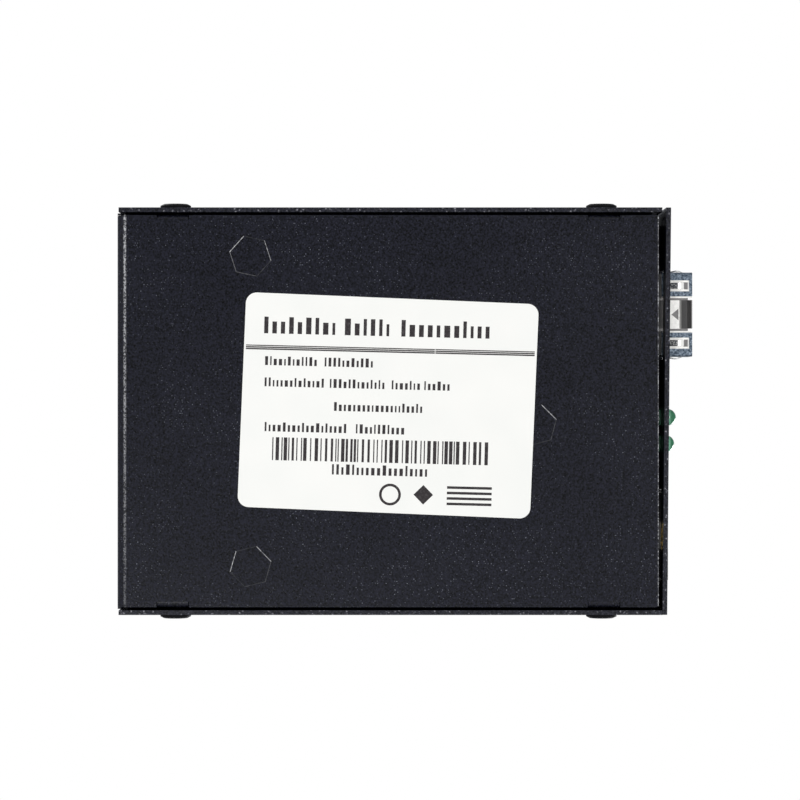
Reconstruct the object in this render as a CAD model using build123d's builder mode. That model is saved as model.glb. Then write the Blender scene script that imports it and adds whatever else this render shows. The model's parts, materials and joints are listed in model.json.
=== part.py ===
from build123d import *
from math import cos, radians, sin, sqrt
import os

os.makedirs("parts", exist_ok=True)

# Frame: underside of the resting label at z = 0, +Z up, ports face -Y, origin at the middle of the base

# Folded steel case
case_width = 71.0
case_length = 96.2
case_height = 26.0
sheet = 0.8
bend_inside = 0.9
wall_clearance = 0.5
front_gap = 1.0
corner_gap = 0.38
lid_clearance = 0.3
wall_rear_setback = 0.3
fold_relief = 0.2
fold_run = 2.6
plate_corner_radius = 0.5
punched_edge_radius = 0.2
panel_corner_radius = 0.35
rear_panel_clearance = 0.15
rear_panel_corner_radius = 1.0
panel_skew = 0.55

# Sticker under the base
label_length = 51.0
label_width = 37.4
label_thickness = 0.1
label_corner_radius = 1.9
label_centre = (-1.0, 0.85)
label_turn = 2.4

# Vent slots in both side walls
vent_count = 9
vent_pitch = 5.0
vent_width = 2.0
vent_length = 10.0
vent_height = 15.5

# Tabs of the tray and the four case screws
tab_width = 5.4
tab_height = 10.8
tab_bend_inside = 0.2
tab_relief = 0.12
screw_height = 8.0
rear_screw_setback = 9.75
front_screw_setback = 11.35
screw_thread = 3.0
screw_length = 3.6
case_screw_head = 5.4
case_screw_head_height = 1.0
case_screw_crown = 0.3
cover_hole_clearance = 0.2
thread_clearance = 0.05
recess_length = 2.6
recess_width = 0.55
recess_depth = 0.45

# Clinched standoffs and the board screws
standoff_hex = 6.3
standoff_head = 0.5
standoff_diameter = 5.3
standoff_height = 4.0
standoff_thread_depth = 3.6
standoff_fit = 0.04
standoff_side_setbacks = (8.5, 8.45)
standoff_rear_setbacks = (23.25, 23.3)
standoff_front_setback = 23.2
standoff_front_x = 2.4
standoff_turns = (42.0, 16.0, 15.0)
board_screw_head = 5.5
board_screw_head_height = 1.7
board_screw_crown = 0.8
board_screw_reach = 3.0
board_hole_clearance = 0.15

# Circuit board
board_thickness = 1.6
board_side_gap = 2.7
board_front_gap = 1.3
board_rear_gap = 1.6
board_corner_radius = 1.0
pin_clearance = 0.15
pin_stub = 1.2
wide_hole = 2.0
narrow_hole_sides = 8

# How far a cutter passes the face that it opens
cut_past = 1.0

# Small form pluggable cage
cage_side_setback = 18.5
cage_proud = 4.55
cage_width = 14.0
cage_height = 8.95
cage_wall = 0.25
cage_length = 48.7
cage_lip_radius = 0.35
flap_width = 5.0
flap_slot = 0.4
flap_length = 9.0
flap_lip = 2.25
flap_lip_bend = 0.95
flap_lip_drop = (0.75, 1.55)
latch_hole_length = 1.25
latch_hole_width = 2.1
latch_hole_setback = 0.15
cage_pin_count = 4
cage_pin_front_setback = 11.5
cage_pin_rear_setback = 5.2
cage_pin_width = 0.7
cage_rear_wall_drop = 6.2
flap_lip_setback = 0.3
edge_connector_clearance = 0.4
edge_foot_clearance = 1.0
board_notch_width = 7.0
board_notch_depth = 4.5

# Spring collar round the front of the cage
collar_sheet = 0.12
collar_length = 5.4
collar_gap = 0.02
collar_strip = 4.2
collar_window = 1.95
collar_window_length = 4.5
collar_window_setback = 0.55
collar_window_margin = 0.25
finger_width = 1.05
finger_rise = 0.5
finger_bend = 1.0
finger_root = 0.2
finger_crest_setback = 1.75
finger_tip_setback = 0.9
finger_pocket_margin = 0.1
collar_panel_clearance = 0.5
collar_side_window_count = 2
collar_side_pitch = 4.2
collar_top_window_count = 3
collar_top_pitch = 4.4

# Edge connector inside the cage
edge_connector_width = 11.2
edge_connector_depth = 9.0
edge_connector_height = 5.6
edge_connector_rear_gap = 2.2
edge_slot_width = 9.2
edge_slot_height = 1.3
edge_slot_depth = 5.5
edge_slot_middle = 3.2
edge_contact_count = 10
edge_contact_pitch = 0.8
edge_contact_width = 0.32
edge_contact_sheet = 0.16
edge_contact_reach = 4.5
edge_contact_foot = 0.7
edge_contact_gap = 0.02
edge_contact_inset = 1.0
edge_connector_chamfer = 0.5

# Modular jack
jack_side_setback = 13.6
jack_proud = 0.3
jack_width = 15.6
jack_height = 13.3
jack_depth = 21.5
jack_shield = 0.25
jack_fit = 0.05
jack_panel_clearance = 0.3
plug_width = 11.8
plug_height = 6.9
plug_depth = 14.0
plug_floor = 2.9
latch_width = 6.2
latch_drop = 1.5
latch_key_width = 4.8
latch_key_depth = 3.0
shield_margin = 0.1
jack_contact_count = 8
jack_contact_pitch = 1.02
jack_contact_width = 0.42
jack_contact_sheet = 0.3
jack_contact_start = 2.6
jack_contact_run = 8.0
jack_contact_drop = 2.3
jack_contact_nose = 0.5
jack_contact_tail = 1.2
jack_contact_slot = 0.05
jack_peg_diameter = 3.2
jack_peg_spacing = 11.4
jack_peg_setback = 12.0
jack_peg_tip = 0.6
shield_tab_width = 1.6
shield_tab_setback = 9.0

# Status lamps
lamp_columns = (1.1, 5.75)
lamp_proud = (1.95, 1.65)
lamp_row_count = 2
lamp_first_row = 3.6
lamp_row_pitch = 5.3
lamp_diameter = 2.95
lamp_flange_diameter = 3.5
lamp_flange = 0.9
lamp_length = 5.2
lamp_hole_clearance = 0.25
lamp_holder_depth = 4.0
lamp_holder_margin = 0.5
lamp_lead = 0.5
lamp_lead_spacing = 2.54
lamp_lead_row_step = 1.3
lamp_lead_clearance = 0.1

# Power inlet
inlet_side_setback = 15.5
inlet_width = 9.0
inlet_height = 11.0
inlet_depth = 14.2
inlet_bore = 6.3
inlet_bore_depth = 9.5
inlet_bore_height = 6.5
inlet_pin = 2.0
inlet_pin_setback = 1.0
inlet_pin_chamfer = 0.4
inlet_face_depth = 3.4
inlet_panel_clearance = 0.25
inlet_terminal_width = 2.2
inlet_terminal_sheet = 0.4
inlet_terminal_slot = 1.0
inlet_spring_tail = 6.6
inlet_switch_tail = (3.6, 3.6)

# Pieces on the board: place across, setback from a neighbour or an edge, size along X, Y and Z
converter_chip_place = (6.0, 2.0)
converter_chip_size = (14.0, 14.0, 1.4)
converter_chip_lead_count = 12
converter_chip_pitch = 1.0
magnetics_setback = 10.5
magnetics_size = (12.7, 9.5, 5.6)
magnetics_lead_count = 8
magnetics_pitch = 1.27
memory_setback = 19.85
regulator_shift = 15.5
regulator_setback = 21.0
small_chip_size = (3.9, 4.9, 1.45)
small_chip_lead_count = 4
small_chip_pitch = 1.27
inductor_shift = 4.0
inductor_setback = 25.5
inductor_size = (7.0, 7.0, 3.6)
inductor_drum = 5.8
inductor_flange = 0.9
crystal_shift = 2.0
crystal_setback = 8.4
crystal_length = 11.0
crystal_width = 4.6
crystal_height = 3.5
crystal_rim = 0.45
crystal_lead_spacing = 4.88
crystal_lead = 0.45
bulk_capacitor_sizes = ((14.0, 8.5, 8.0, 10.5), (24.0, 11.5, 6.3, 8.0))
capacitor_lead = 0.55
capacitor_lead_spacing = 2.5
capacitor_groove = 0.35
diode_shift = 8.5
diode_setback = 16.5
diode_size = (4.3, 3.6, 2.2)
fuse_shift = 8.0
fuse_setback = 2.6
fuse_size = (4.5, 3.2, 1.0)
end_cap = 0.35
ceramic_size = (0.8, 1.6, 0.8)
ceramic_pitch = 2.4
chip_ceramic_count = 6
chip_ceramic_setback = 3.1
regulator_ceramic_count = 2
regulator_ceramic_setback = 4.5
resistor_size = (1.6, 0.8, 0.45)
resistor_pitch = 2.6
lamp_resistor_count = 3
lamp_resistor_setback = 6.0
memory_resistor_count = 2
memory_resistor_setback = 5.0
line_resistor_count = 4
line_resistor_setback = 9.5
lead_sheet = 0.2
lead_share = 0.45
lead_reach = 1.1
package_lift = 0.1


def block(low, high, mode=Mode.ADD):
    """Add or cut a block given by two opposite corners."""
    size = [upper - lower for lower, upper in zip(low, high)]
    middle = [(upper + lower) / 2 for lower, upper in zip(low, high)]
    with Locations(tuple(middle)):
        Box(*size, mode=mode)


def evenly(count, pitch):
    """Places of a row of equal steps about zero."""
    return [(index - (count - 1) / 2) * pitch for index in range(count)]


def strip(plane, points, thickness, width, side=Side.LEFT):
    """Add a bent metal strip: its section lies on one side of the points and is widened both ways."""
    with BuildSketch(plane) as section:
        with BuildLine():
            Polyline(*points)
            offset(amount=thickness, side=side, kind=Kind.INTERSECTION)
        make_face()
    extrude(section.sketch, amount=width / 2, both=True)


def side_section(x):
    """Plane across X whose axes are Y and Z."""
    return Plane(origin=(x, 0, 0), x_dir=(0, 1, 0), z_dir=(1, 0, 0))


# Levels and faces that the pieces share
base_bottom = label_thickness
base_top = base_bottom + sheet
case_top = base_bottom + case_height
lid_underside = case_top - sheet
bend_outside = bend_inside + sheet
bend_middle = bend_inside + sheet / 2
front_face = -case_length / 2
panel_inside = front_face + sheet
rear_face = case_length / 2
rear_inside = rear_face - sheet
wall_inside = case_width / 2 - sheet
tray_side = wall_inside - wall_clearance
rear_panel_side = wall_inside - rear_panel_clearance
rear_panel_bottom = base_bottom + bend_outside + fold_relief
rear_panel_top = lid_underside - lid_clearance
tray_front = panel_inside + front_gap
wall_front = panel_inside + corner_gap
wall_rear = rear_face - wall_rear_setback
screw_level = base_bottom + screw_height
screw_places = (rear_face - rear_screw_setback, front_face + front_screw_setback)
standoff_places = (
    (standoff_side_setbacks[0] - case_width / 2, rear_face - standoff_rear_setbacks[0]),
    (case_width / 2 - standoff_side_setbacks[1], rear_face - standoff_rear_setbacks[1]),
    (standoff_front_x, front_face + standoff_front_setback),
)
standoffs = [(x, y, turn) for (x, y), turn in zip(standoff_places, standoff_turns)]

board_bottom = base_top + standoff_height
board_top = board_bottom + board_thickness
board_side = tray_side - board_side_gap
board_front = tray_front + board_front_gap
board_rear = rear_inside - board_rear_gap

cage_x = cage_side_setback - case_width / 2
cage_outer_width = cage_width + 2 * cage_wall
cage_outer_height = cage_height + 2 * cage_wall
cage_front = front_face - cage_proud
cage_rear = cage_front + cage_length
cage_middle = board_top + cage_outer_height / 2
collar_rise = collar_gap + collar_sheet

jack_x = case_width / 2 - jack_side_setback
jack_front = front_face - jack_proud
jack_rear = jack_front + jack_depth
plug_bottom = board_top + plug_floor
plug_top = plug_bottom + plug_height

lamp_levels = [board_top + lamp_first_row + row * lamp_row_pitch for row in range(lamp_row_count)]
lamp_seat = front_face - lamp_proud[0] + lamp_length
holder_rear = lamp_seat + lamp_holder_depth
lamp_middle = sum(lamp_columns) / len(lamp_columns)

inlet_x = case_width / 2 - inlet_side_setback
inlet_level = board_top + inlet_bore_height

front_view = Plane(origin=(0, front_face, 0), x_dir=(1, 0, 0), z_dir=(0, -1, 0))
rear_view = Plane(origin=(0, rear_face, 0), x_dir=(-1, 0, 0), z_dir=(0, 1, 0))
skew_along = (cos(radians(panel_skew)), sin(radians(panel_skew)), 0)
skew_out = (sin(radians(panel_skew)), -cos(radians(panel_skew)), 0)
panel_plane = Plane(origin=(0, front_face, 0), x_dir=skew_along, z_dir=skew_out)
fold_plane = Plane(
    origin=(0, front_face, 0), x_dir=(-skew_out[0], -skew_out[1], 0), z_dir=skew_along
)

# Tray: bottom plate, rear panel and four screw tabs from one sheet
with BuildPart() as base_tray:
    with BuildSketch(Plane.YZ):
        with BuildLine():
            FilletPolyline(
                (tray_front, base_bottom + sheet / 2),
                (rear_face - sheet / 2, base_bottom + sheet / 2),
                (rear_face - sheet / 2, rear_panel_bottom),
                radius=bend_middle,
            )
        trace(line_width=sheet)
    extrude(amount=tray_side, both=True)
    front_corners = base_tray.edges().filter_by(Axis.Z).group_by(Axis.Y)[0]
    fillet(front_corners, plate_corner_radius)
    punched_edge = base_tray.faces().sort_by(Axis.Y)[0].edges().sort_by(Axis.Z)[0]
    fillet(punched_edge, punched_edge_radius)
    with BuildSketch(rear_view) as rear_panel:
        with Locations((0, (rear_panel_bottom + rear_panel_top) / 2)):
            Rectangle(2 * rear_panel_side, rear_panel_top - rear_panel_bottom)
        fillet(rear_panel.vertices().group_by(Axis.Y)[-1], rear_panel_corner_radius)
    extrude(amount=-sheet)

    tab_root = tab_bend_inside + sheet
    for place in screw_places:
        for side in (-1, 1):
            with Locations((side * tray_side, place, base_bottom + sheet / 2)):
                Box(2 * tab_root, tab_width + 2 * tab_relief, 2 * sheet, mode=Mode.SUBTRACT)
            with BuildSketch(Plane.XZ.offset(-place)):
                with BuildLine():
                    FilletPolyline(
                        (side * (tray_side - tab_root - fold_run), base_bottom + sheet / 2),
                        (side * (tray_side - sheet / 2), base_bottom + sheet / 2),
                        (side * (tray_side - sheet / 2), base_bottom + tab_height),
                        radius=tab_bend_inside + sheet / 2,
                    )
                trace(line_width=sheet)
            extrude(amount=tab_width / 2, both=True)
    with BuildSketch(Plane.YZ):
        with Locations(*[(place, screw_level) for place in screw_places]):
            Circle(screw_thread / 2 + thread_clearance)
    extrude(amount=case_width, both=True, mode=Mode.SUBTRACT)

    for x, y, turn in standoffs:
        with BuildSketch(Plane.XY.offset(base_bottom)):
            with Locations((x, y)):
                RegularPolygon(standoff_hex / 2 + standoff_fit, 6, major_radius=False, rotation=turn)
        extrude(amount=standoff_head, mode=Mode.SUBTRACT)
        with BuildSketch(Plane.XY.offset(base_bottom)):
            with Locations((x, y)):
                Circle(standoff_diameter / 2 + standoff_fit)
        extrude(amount=sheet, mode=Mode.SUBTRACT)

    with BuildSketch(rear_view):
        with Locations((-inlet_x, board_top + inlet_height / 2)):
            Rectangle(
                inlet_width + 2 * inlet_panel_clearance,
                inlet_height + 2 * inlet_panel_clearance,
            )
    extrude(amount=-sheet, mode=Mode.SUBTRACT)
base_tray.part.label = "base_tray"
export_step(base_tray.part, "parts/base_tray.step")

# Cover: top, both side walls and the front panel from one sheet
with BuildPart() as top_cover:
    with BuildSketch(Plane.XZ.offset(-wall_rear)):
        with BuildLine():
            FilletPolyline(
                (-(case_width - sheet) / 2, base_bottom),
                (-(case_width - sheet) / 2, case_top - sheet / 2),
                ((case_width - sheet) / 2, case_top - sheet / 2),
                ((case_width - sheet) / 2, base_bottom),
                radius=bend_middle,
            )
        trace(line_width=sheet)
    extrude(amount=wall_rear - wall_front)

    with BuildSketch(fold_plane):
        with BuildLine():
            FilletPolyline(
                (sheet / 2, case_top - bend_outside - fold_run),
                (sheet / 2, case_top - sheet / 2),
                (bend_outside + fold_run, case_top - sheet / 2),
                radius=bend_middle,
            )
        trace(line_width=sheet)
    extrude(amount=case_width / 2 - bend_outside - fold_relief, both=True)

    panel_height = case_top - bend_outside - fold_relief - base_bottom
    with BuildSketch(panel_plane) as port_panel:
        with Locations((0, base_bottom + panel_height / 2)):
            Rectangle(case_width, panel_height)
        fillet(port_panel.vertices().group_by(Axis.Y)[0], panel_corner_radius)
    extrude(amount=-sheet)

    with BuildSketch(front_view):
        with Locations((cage_x, cage_middle)):
            Rectangle(
                cage_outer_width + 2 * (collar_rise + collar_panel_clearance),
                cage_outer_height + 2 * (collar_rise + collar_panel_clearance),
            )
        with Locations((jack_x, board_top + jack_height / 2)):
            Rectangle(jack_width + 2 * jack_panel_clearance, jack_height + 2 * jack_panel_clearance)
        with Locations(*[(x, level) for x in lamp_columns for level in lamp_levels]):
            Circle(lamp_diameter / 2 + lamp_hole_clearance)
    extrude(amount=2 * sheet, both=True, mode=Mode.SUBTRACT)

    with BuildSketch(Plane.YZ):
        with Locations(*[(place, screw_level) for place in screw_places]):
            Circle(screw_thread / 2 + cover_hole_clearance)
        with Locations(*[(place, vent_height) for place in evenly(vent_count, vent_pitch)]):
            SlotOverall(vent_length, vent_width, rotation=90)
    extrude(amount=case_width, both=True, mode=Mode.SUBTRACT)
top_cover.part.label = "top_cover"
export_step(top_cover.part, "parts/top_cover.step")


def cross_head_screw(seat, head, head_height, crown, thread, length):
    """Add a screw with a crowned head on the seat plane and a cross recess."""
    with BuildSketch(seat) as shank:
        Circle(thread / 2)
    extrude(shank.sketch, amount=-length)
    with BuildSketch(seat) as disc:
        Circle(head / 2)
    extrude(disc.sketch, amount=head_height)
    top = faces(Select.LAST).sort_by(Axis(seat.origin, seat.z_dir))[-1]
    chamfer(top.edges(), 2 * crown, crown, reference=top)
    with BuildSketch(seat.offset(head_height)) as cross:
        Rectangle(recess_length, recess_width)
        Rectangle(recess_width, recess_length)
    extrude(cross.sketch, amount=-recess_depth, mode=Mode.SUBTRACT)


# Four case screws
with BuildPart() as cover_screws:
    for place in screw_places:
        for side in (-1, 1):
            screw_seat = Plane(
                origin=(side * case_width / 2, place, screw_level), x_dir=(0, 1, 1), z_dir=(side, 0, 0)
            )
            cross_head_screw(
                screw_seat,
                case_screw_head,
                case_screw_head_height,
                case_screw_crown,
                screw_thread,
                screw_length,
            )
cover_screws.part.label = "cover_screws"
export_step(cover_screws.part, "parts/cover_screws.step")

# Sticker, stuck on a little crooked
with BuildPart() as label:
    with BuildSketch(Plane.XY):
        with Locations(label_centre):
            RectangleRounded(label_width, label_length, label_corner_radius, rotation=label_turn)
    extrude(amount=label_thickness)
label.part.label = "label"
export_step(label.part, "parts/label.step")

# Standoffs clinched flush into the plate
with BuildPart() as pcb_standoffs:
    for x, y, turn in standoffs:
        with BuildSketch(Plane.XY.offset(base_bottom)):
            with Locations((x, y)):
                RegularPolygon(standoff_hex / 2, 6, major_radius=False, rotation=turn)
        extrude(amount=standoff_head)
        with BuildSketch(Plane.XY.offset(base_bottom)):
            with Locations((x, y)):
                Circle(standoff_diameter / 2)
        extrude(amount=board_bottom - base_bottom)
        with BuildSketch(Plane.XY.offset(board_bottom)):
            with Locations((x, y)):
                Circle(screw_thread / 2 + thread_clearance)
        extrude(amount=-standoff_thread_depth, mode=Mode.SUBTRACT)
pcb_standoffs.part.label = "pcb_standoffs"
export_step(pcb_standoffs.part, "parts/pcb_standoffs.step")

# Board screws
with BuildPart() as pcb_screws:
    for x, y, turn in standoffs:
        cross_head_screw(
            Plane(origin=(x, y, board_top), x_dir=(1, 0, 0), z_dir=(0, 0, 1)),
            board_screw_head,
            board_screw_head_height,
            board_screw_crown,
            screw_thread,
            board_thickness + board_screw_reach,
        )
pcb_screws.part.label = "pcb_screws"
export_step(pcb_screws.part, "parts/pcb_screws.step")

# Cage: thin steel box with an open mouth, a latch flap and press-in pins
cage_pin_edge = cage_outer_width / 2 - cage_wall / 2
cage_pin_row = cage_length - cage_pin_front_setback - cage_pin_rear_setback
cage_pin_pitch = cage_pin_row / (cage_pin_count - 1)
cage_pin_places = [
    cage_front + cage_pin_front_setback + place * cage_pin_pitch for place in range(cage_pin_count)
]
cage_pins = [(cage_x + side * cage_pin_edge, place) for side in (-1, 1) for place in cage_pin_places]
edge_connector_rear = cage_rear - edge_connector_rear_gap
edge_connector_front = edge_connector_rear - edge_connector_depth
edge_opening_front = edge_connector_front - edge_contact_foot - edge_foot_clearance
flap_tip = cage_front + flap_lip

collar_rear = cage_front + collar_length
window_front = cage_front + collar_window_setback
window_rear = window_front + collar_window_length
window_middle = (window_front + window_rear) / 2
collar_half_width = cage_outer_width / 2 + collar_gap + collar_sheet / 2
collar_half_height = cage_outer_height / 2 + collar_gap + collar_sheet / 2
bottom_window = cage_outer_width / 2 + collar_rise - collar_strip / 2 - collar_window_margin
bottom_windows = [cage_x + side * bottom_window for side in (-1, 1)]
top_windows = [cage_x + step for step in evenly(collar_top_window_count, collar_top_pitch)]
side_windows = [cage_middle + step for step in evenly(collar_side_window_count, collar_side_pitch)]
finger_tip = window_front + finger_tip_setback
pocket_front = window_front + finger_pocket_margin
pocket_rear = finger_tip + finger_pocket_margin
pocket_middle = (pocket_front + pocket_rear) / 2
pocket_length = pocket_rear - pocket_front
pocket_width = finger_width + 2 * finger_pocket_margin

with BuildPart() as sfp_cage:
    with BuildSketch(Plane.XZ.offset(-cage_rear)):
        with Locations((cage_x, cage_middle)):
            RectangleRounded(cage_outer_width, cage_outer_height, cage_lip_radius)
    extrude(amount=cage_length)
    with BuildSketch(Plane.XZ.offset(-(cage_rear - cage_wall))):
        with Locations((cage_x, cage_middle)):
            Rectangle(cage_width, cage_height)
    extrude(amount=cage_length, mode=Mode.SUBTRACT)
    block(
        (
            cage_x - edge_connector_width / 2 - edge_connector_clearance,
            edge_opening_front,
            board_top - cut_past,
        ),
        (
            cage_x + edge_connector_width / 2 + edge_connector_clearance,
            cage_rear - cage_wall,
            board_top + 2 * cage_wall,
        ),
        mode=Mode.SUBTRACT,
    )
    block(
        (cage_x - edge_connector_width / 2, cage_rear - 2 * cage_wall, board_top - cut_past),
        (
            cage_x + edge_connector_width / 2,
            cage_rear + cut_past,
            board_top + cage_outer_height - cage_wall - cage_rear_wall_drop,
        ),
        mode=Mode.SUBTRACT,
    )
    for side in (-1, 1):
        slot_x = cage_x + side * (flap_width + flap_slot) / 2
        block(
            (slot_x - flap_slot / 2, cage_front - cut_past, board_top - cut_past),
            (slot_x + flap_slot / 2, cage_front + flap_length, board_top + 2 * cage_wall),
            mode=Mode.SUBTRACT,
        )
    block(
        (cage_x - flap_width / 2, cage_front - cut_past, board_top - cut_past),
        (cage_x + flap_width / 2, flap_tip, board_top + 2 * cage_wall),
        mode=Mode.SUBTRACT,
    )
    strip(
        side_section(cage_x),
        [
            (flap_tip + flap_slot, board_top),
            (flap_tip, board_top),
            (flap_tip - (flap_lip - flap_lip_bend), board_top - flap_lip_drop[0]),
            (cage_front + flap_lip_setback, board_top - flap_lip_drop[1]),
        ],
        cage_wall,
        flap_width,
        Side.RIGHT,
    )
    with BuildSketch(Plane.XY.offset(board_top - cut_past)):
        with BuildLine():
            Polyline(
                (cage_x - latch_hole_width / 2, flap_tip + latch_hole_setback),
                (cage_x + latch_hole_width / 2, flap_tip + latch_hole_setback),
                (cage_x, flap_tip + latch_hole_setback + latch_hole_length),
                close=True,
            )
        make_face()
    extrude(amount=2 * cut_past, mode=Mode.SUBTRACT)
    with BuildSketch(Plane.XY.offset(cage_middle)):
        with Locations(*[(x, pocket_middle) for x in bottom_windows]):
            Rectangle(pocket_width, pocket_length)
    extrude(amount=-cage_outer_height, mode=Mode.SUBTRACT)
    with BuildSketch(Plane.XY.offset(cage_middle)):
        with Locations(*[(x, pocket_middle) for x in top_windows]):
            Rectangle(pocket_width, pocket_length)
    extrude(amount=cage_outer_height, mode=Mode.SUBTRACT)
    with BuildSketch(side_section(cage_x)):
        with Locations(*[(pocket_middle, z) for z in side_windows]):
            Rectangle(pocket_length, pocket_width)
    extrude(amount=cage_outer_width, both=True, mode=Mode.SUBTRACT)
    for x, y in cage_pins:
        block(
            (x - cage_wall / 2, y - cage_pin_width / 2, board_bottom - pin_stub),
            (x + cage_wall / 2, y + cage_pin_width / 2, board_top + cage_lip_radius + cage_wall),
        )
sfp_cage.part.label = "sfp_cage"
export_step(sfp_cage.part, "parts/sfp_cage.step")


def bowed_finger(plane, level, rise):
    """Add a spring finger: rooted in the strip behind its window, bent out, with its free tip in front."""
    with BuildSketch(plane) as bow:
        with BuildLine():
            FilletPolyline(
                (window_rear + finger_root, level),
                (window_rear, level),
                (window_front + finger_crest_setback, level + rise),
                (finger_tip, level),
                radius=finger_bend,
            )
        trace(line_width=collar_sheet)
    extrude(bow.sketch, amount=finger_width / 2, both=True)


# Spring collar: a thin strip round the cage's mouth, open at the flap, with bowed fingers
with BuildPart() as sfp_emi_collar:
    with BuildSketch(Plane.XZ.offset(-collar_rear)):
        with Locations((cage_x, cage_middle)):
            RectangleRounded(
                2 * collar_half_width + collar_sheet,
                2 * collar_half_height + collar_sheet,
                cage_lip_radius + collar_rise,
            )
            RectangleRounded(
                cage_outer_width + 2 * collar_gap,
                cage_outer_height + 2 * collar_gap,
                cage_lip_radius,
                mode=Mode.SUBTRACT,
            )
    extrude(amount=collar_length)
    block(
        (
            cage_x - cage_outer_width / 2 - collar_rise + collar_strip,
            cage_front - cut_past,
            board_top - collar_rise - cut_past,
        ),
        (
            cage_x + cage_outer_width / 2 + collar_rise - collar_strip,
            collar_rear + cut_past,
            board_top + cut_past,
        ),
        mode=Mode.SUBTRACT,
    )
    with BuildSketch(Plane.XY.offset(cage_middle)):
        with Locations(*[(x, window_middle) for x in bottom_windows]):
            Rectangle(collar_window, collar_window_length)
    extrude(amount=-cage_outer_height, mode=Mode.SUBTRACT)
    with BuildSketch(Plane.XY.offset(cage_middle)):
        with Locations(*[(x, window_middle) for x in top_windows]):
            Rectangle(collar_window, collar_window_length)
    extrude(amount=cage_outer_height, mode=Mode.SUBTRACT)
    with BuildSketch(side_section(cage_x)):
        with Locations(*[(window_middle, z) for z in side_windows]):
            Rectangle(collar_window_length, collar_window)
    extrude(amount=cage_outer_width, both=True, mode=Mode.SUBTRACT)

    for x in bottom_windows:
        bowed_finger(side_section(x), cage_middle - collar_half_height, -finger_rise)
    for x in top_windows:
        bowed_finger(side_section(x), cage_middle + collar_half_height, finger_rise)
    for side in (-1, 1):
        for z in side_windows:
            outward = Plane(origin=(cage_x, 0, z), x_dir=(0, 1, 0), z_dir=(0, 0, -side))
            bowed_finger(outward, collar_half_width, finger_rise)
sfp_emi_collar.part.label = "sfp_emi_collar"
export_step(sfp_emi_collar.part, "parts/sfp_emi_collar.step")

# Edge connector that the module plugs into
slot_level = board_top + edge_slot_middle
slot_low = slot_level - edge_slot_height / 2
slot_high = slot_level + edge_slot_height / 2
with BuildPart() as sfp_connector:
    block(
        (cage_x - edge_connector_width / 2, edge_connector_front, board_top),
        (cage_x + edge_connector_width / 2, edge_connector_rear, board_top + edge_connector_height),
    )
    chamfer(sfp_connector.edges().filter_by(Axis.X).group_by(Axis.Z)[-1], edge_connector_chamfer)
    block(
        (cage_x - edge_slot_width / 2, edge_connector_front - cut_past, slot_low),
        (cage_x + edge_slot_width / 2, edge_connector_front + edge_slot_depth, slot_high),
        mode=Mode.SUBTRACT,
    )
    block(
        (
            cage_x - edge_slot_width / 2,
            edge_connector_front,
            slot_high - edge_contact_sheet - 2 * edge_contact_gap,
        ),
        (cage_x + edge_slot_width / 2, edge_connector_rear + cut_past, slot_high),
        mode=Mode.SUBTRACT,
    )
sfp_connector.part.label = "sfp_connector"
export_step(sfp_connector.part, "parts/sfp_connector.step")

# Twenty contacts of the edge connector
with BuildPart() as sfp_contacts:
    for step in evenly(edge_contact_count, edge_contact_pitch):
        strip(
            side_section(cage_x + step),
            [
                (edge_connector_front + edge_contact_reach, slot_low),
                (edge_connector_front - edge_contact_gap, slot_low),
                (edge_connector_front - edge_contact_gap, board_top),
                (edge_connector_front - edge_contact_gap - edge_contact_foot, board_top),
            ],
            edge_contact_sheet,
            edge_contact_width,
            Side.RIGHT,
        )
        strip(
            side_section(cage_x + step),
            [
                (edge_connector_front + edge_contact_inset, slot_high - edge_contact_sheet),
                (edge_connector_rear + edge_contact_gap, slot_high - edge_contact_sheet),
                (edge_connector_rear + edge_contact_gap, board_top),
                (edge_connector_rear + edge_contact_gap + edge_contact_foot, board_top),
            ],
            edge_contact_sheet,
            edge_contact_width,
        )
sfp_contacts.part.label = "sfp_contacts"
export_step(sfp_contacts.part, "parts/sfp_contacts.step")

# Modular jack: steel shield, black insert and eight spring contacts
insert_side = jack_width / 2 - jack_shield - jack_fit
insert_top = board_top + jack_height - jack_shield - jack_fit
insert_front = jack_front + jack_shield + jack_fit
insert_rear = jack_rear - jack_shield - jack_fit
plug_end = jack_front + plug_depth
contact_tail = insert_rear - jack_contact_tail
jack_contact_places = [jack_x + step for step in evenly(jack_contact_count, jack_contact_pitch)]
peg_places = [(jack_x + step, jack_front + jack_peg_setback) for step in evenly(2, jack_peg_spacing)]
shield_tab_places = [
    (jack_x + step, jack_front + shield_tab_setback) for step in evenly(2, jack_width - jack_shield)
]

with BuildPart() as rj45_shield:
    block(
        (jack_x - jack_width / 2, jack_front, board_top),
        (jack_x + jack_width / 2, jack_rear, board_top + jack_height),
    )
    block(
        (jack_x - jack_width / 2 + jack_shield, jack_front + jack_shield, board_top - cut_past),
        (
            jack_x + jack_width / 2 - jack_shield,
            jack_rear - jack_shield,
            board_top + jack_height - jack_shield,
        ),
        mode=Mode.SUBTRACT,
    )
    with BuildSketch(Plane.XZ.offset(-jack_front - jack_shield)):
        with Locations((jack_x, (plug_bottom + plug_top) / 2)):
            Rectangle(plug_width + 2 * shield_margin, plug_height + 2 * shield_margin)
        with Locations((jack_x, plug_bottom)):
            Rectangle(latch_width + 2 * shield_margin, 2 * (latch_drop + shield_margin))
            Rectangle(latch_key_width, 2 * (plug_bottom - board_top + cut_past))
    extrude(amount=jack_shield + cut_past, mode=Mode.SUBTRACT)
    for x, y in shield_tab_places:
        block(
            (x - jack_shield / 2, y - shield_tab_width / 2, board_bottom - pin_stub),
            (x + jack_shield / 2, y + shield_tab_width / 2, board_top + shield_tab_width),
        )
rj45_shield.part.label = "rj45_shield"
export_step(rj45_shield.part, "parts/rj45_shield.step")

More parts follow.
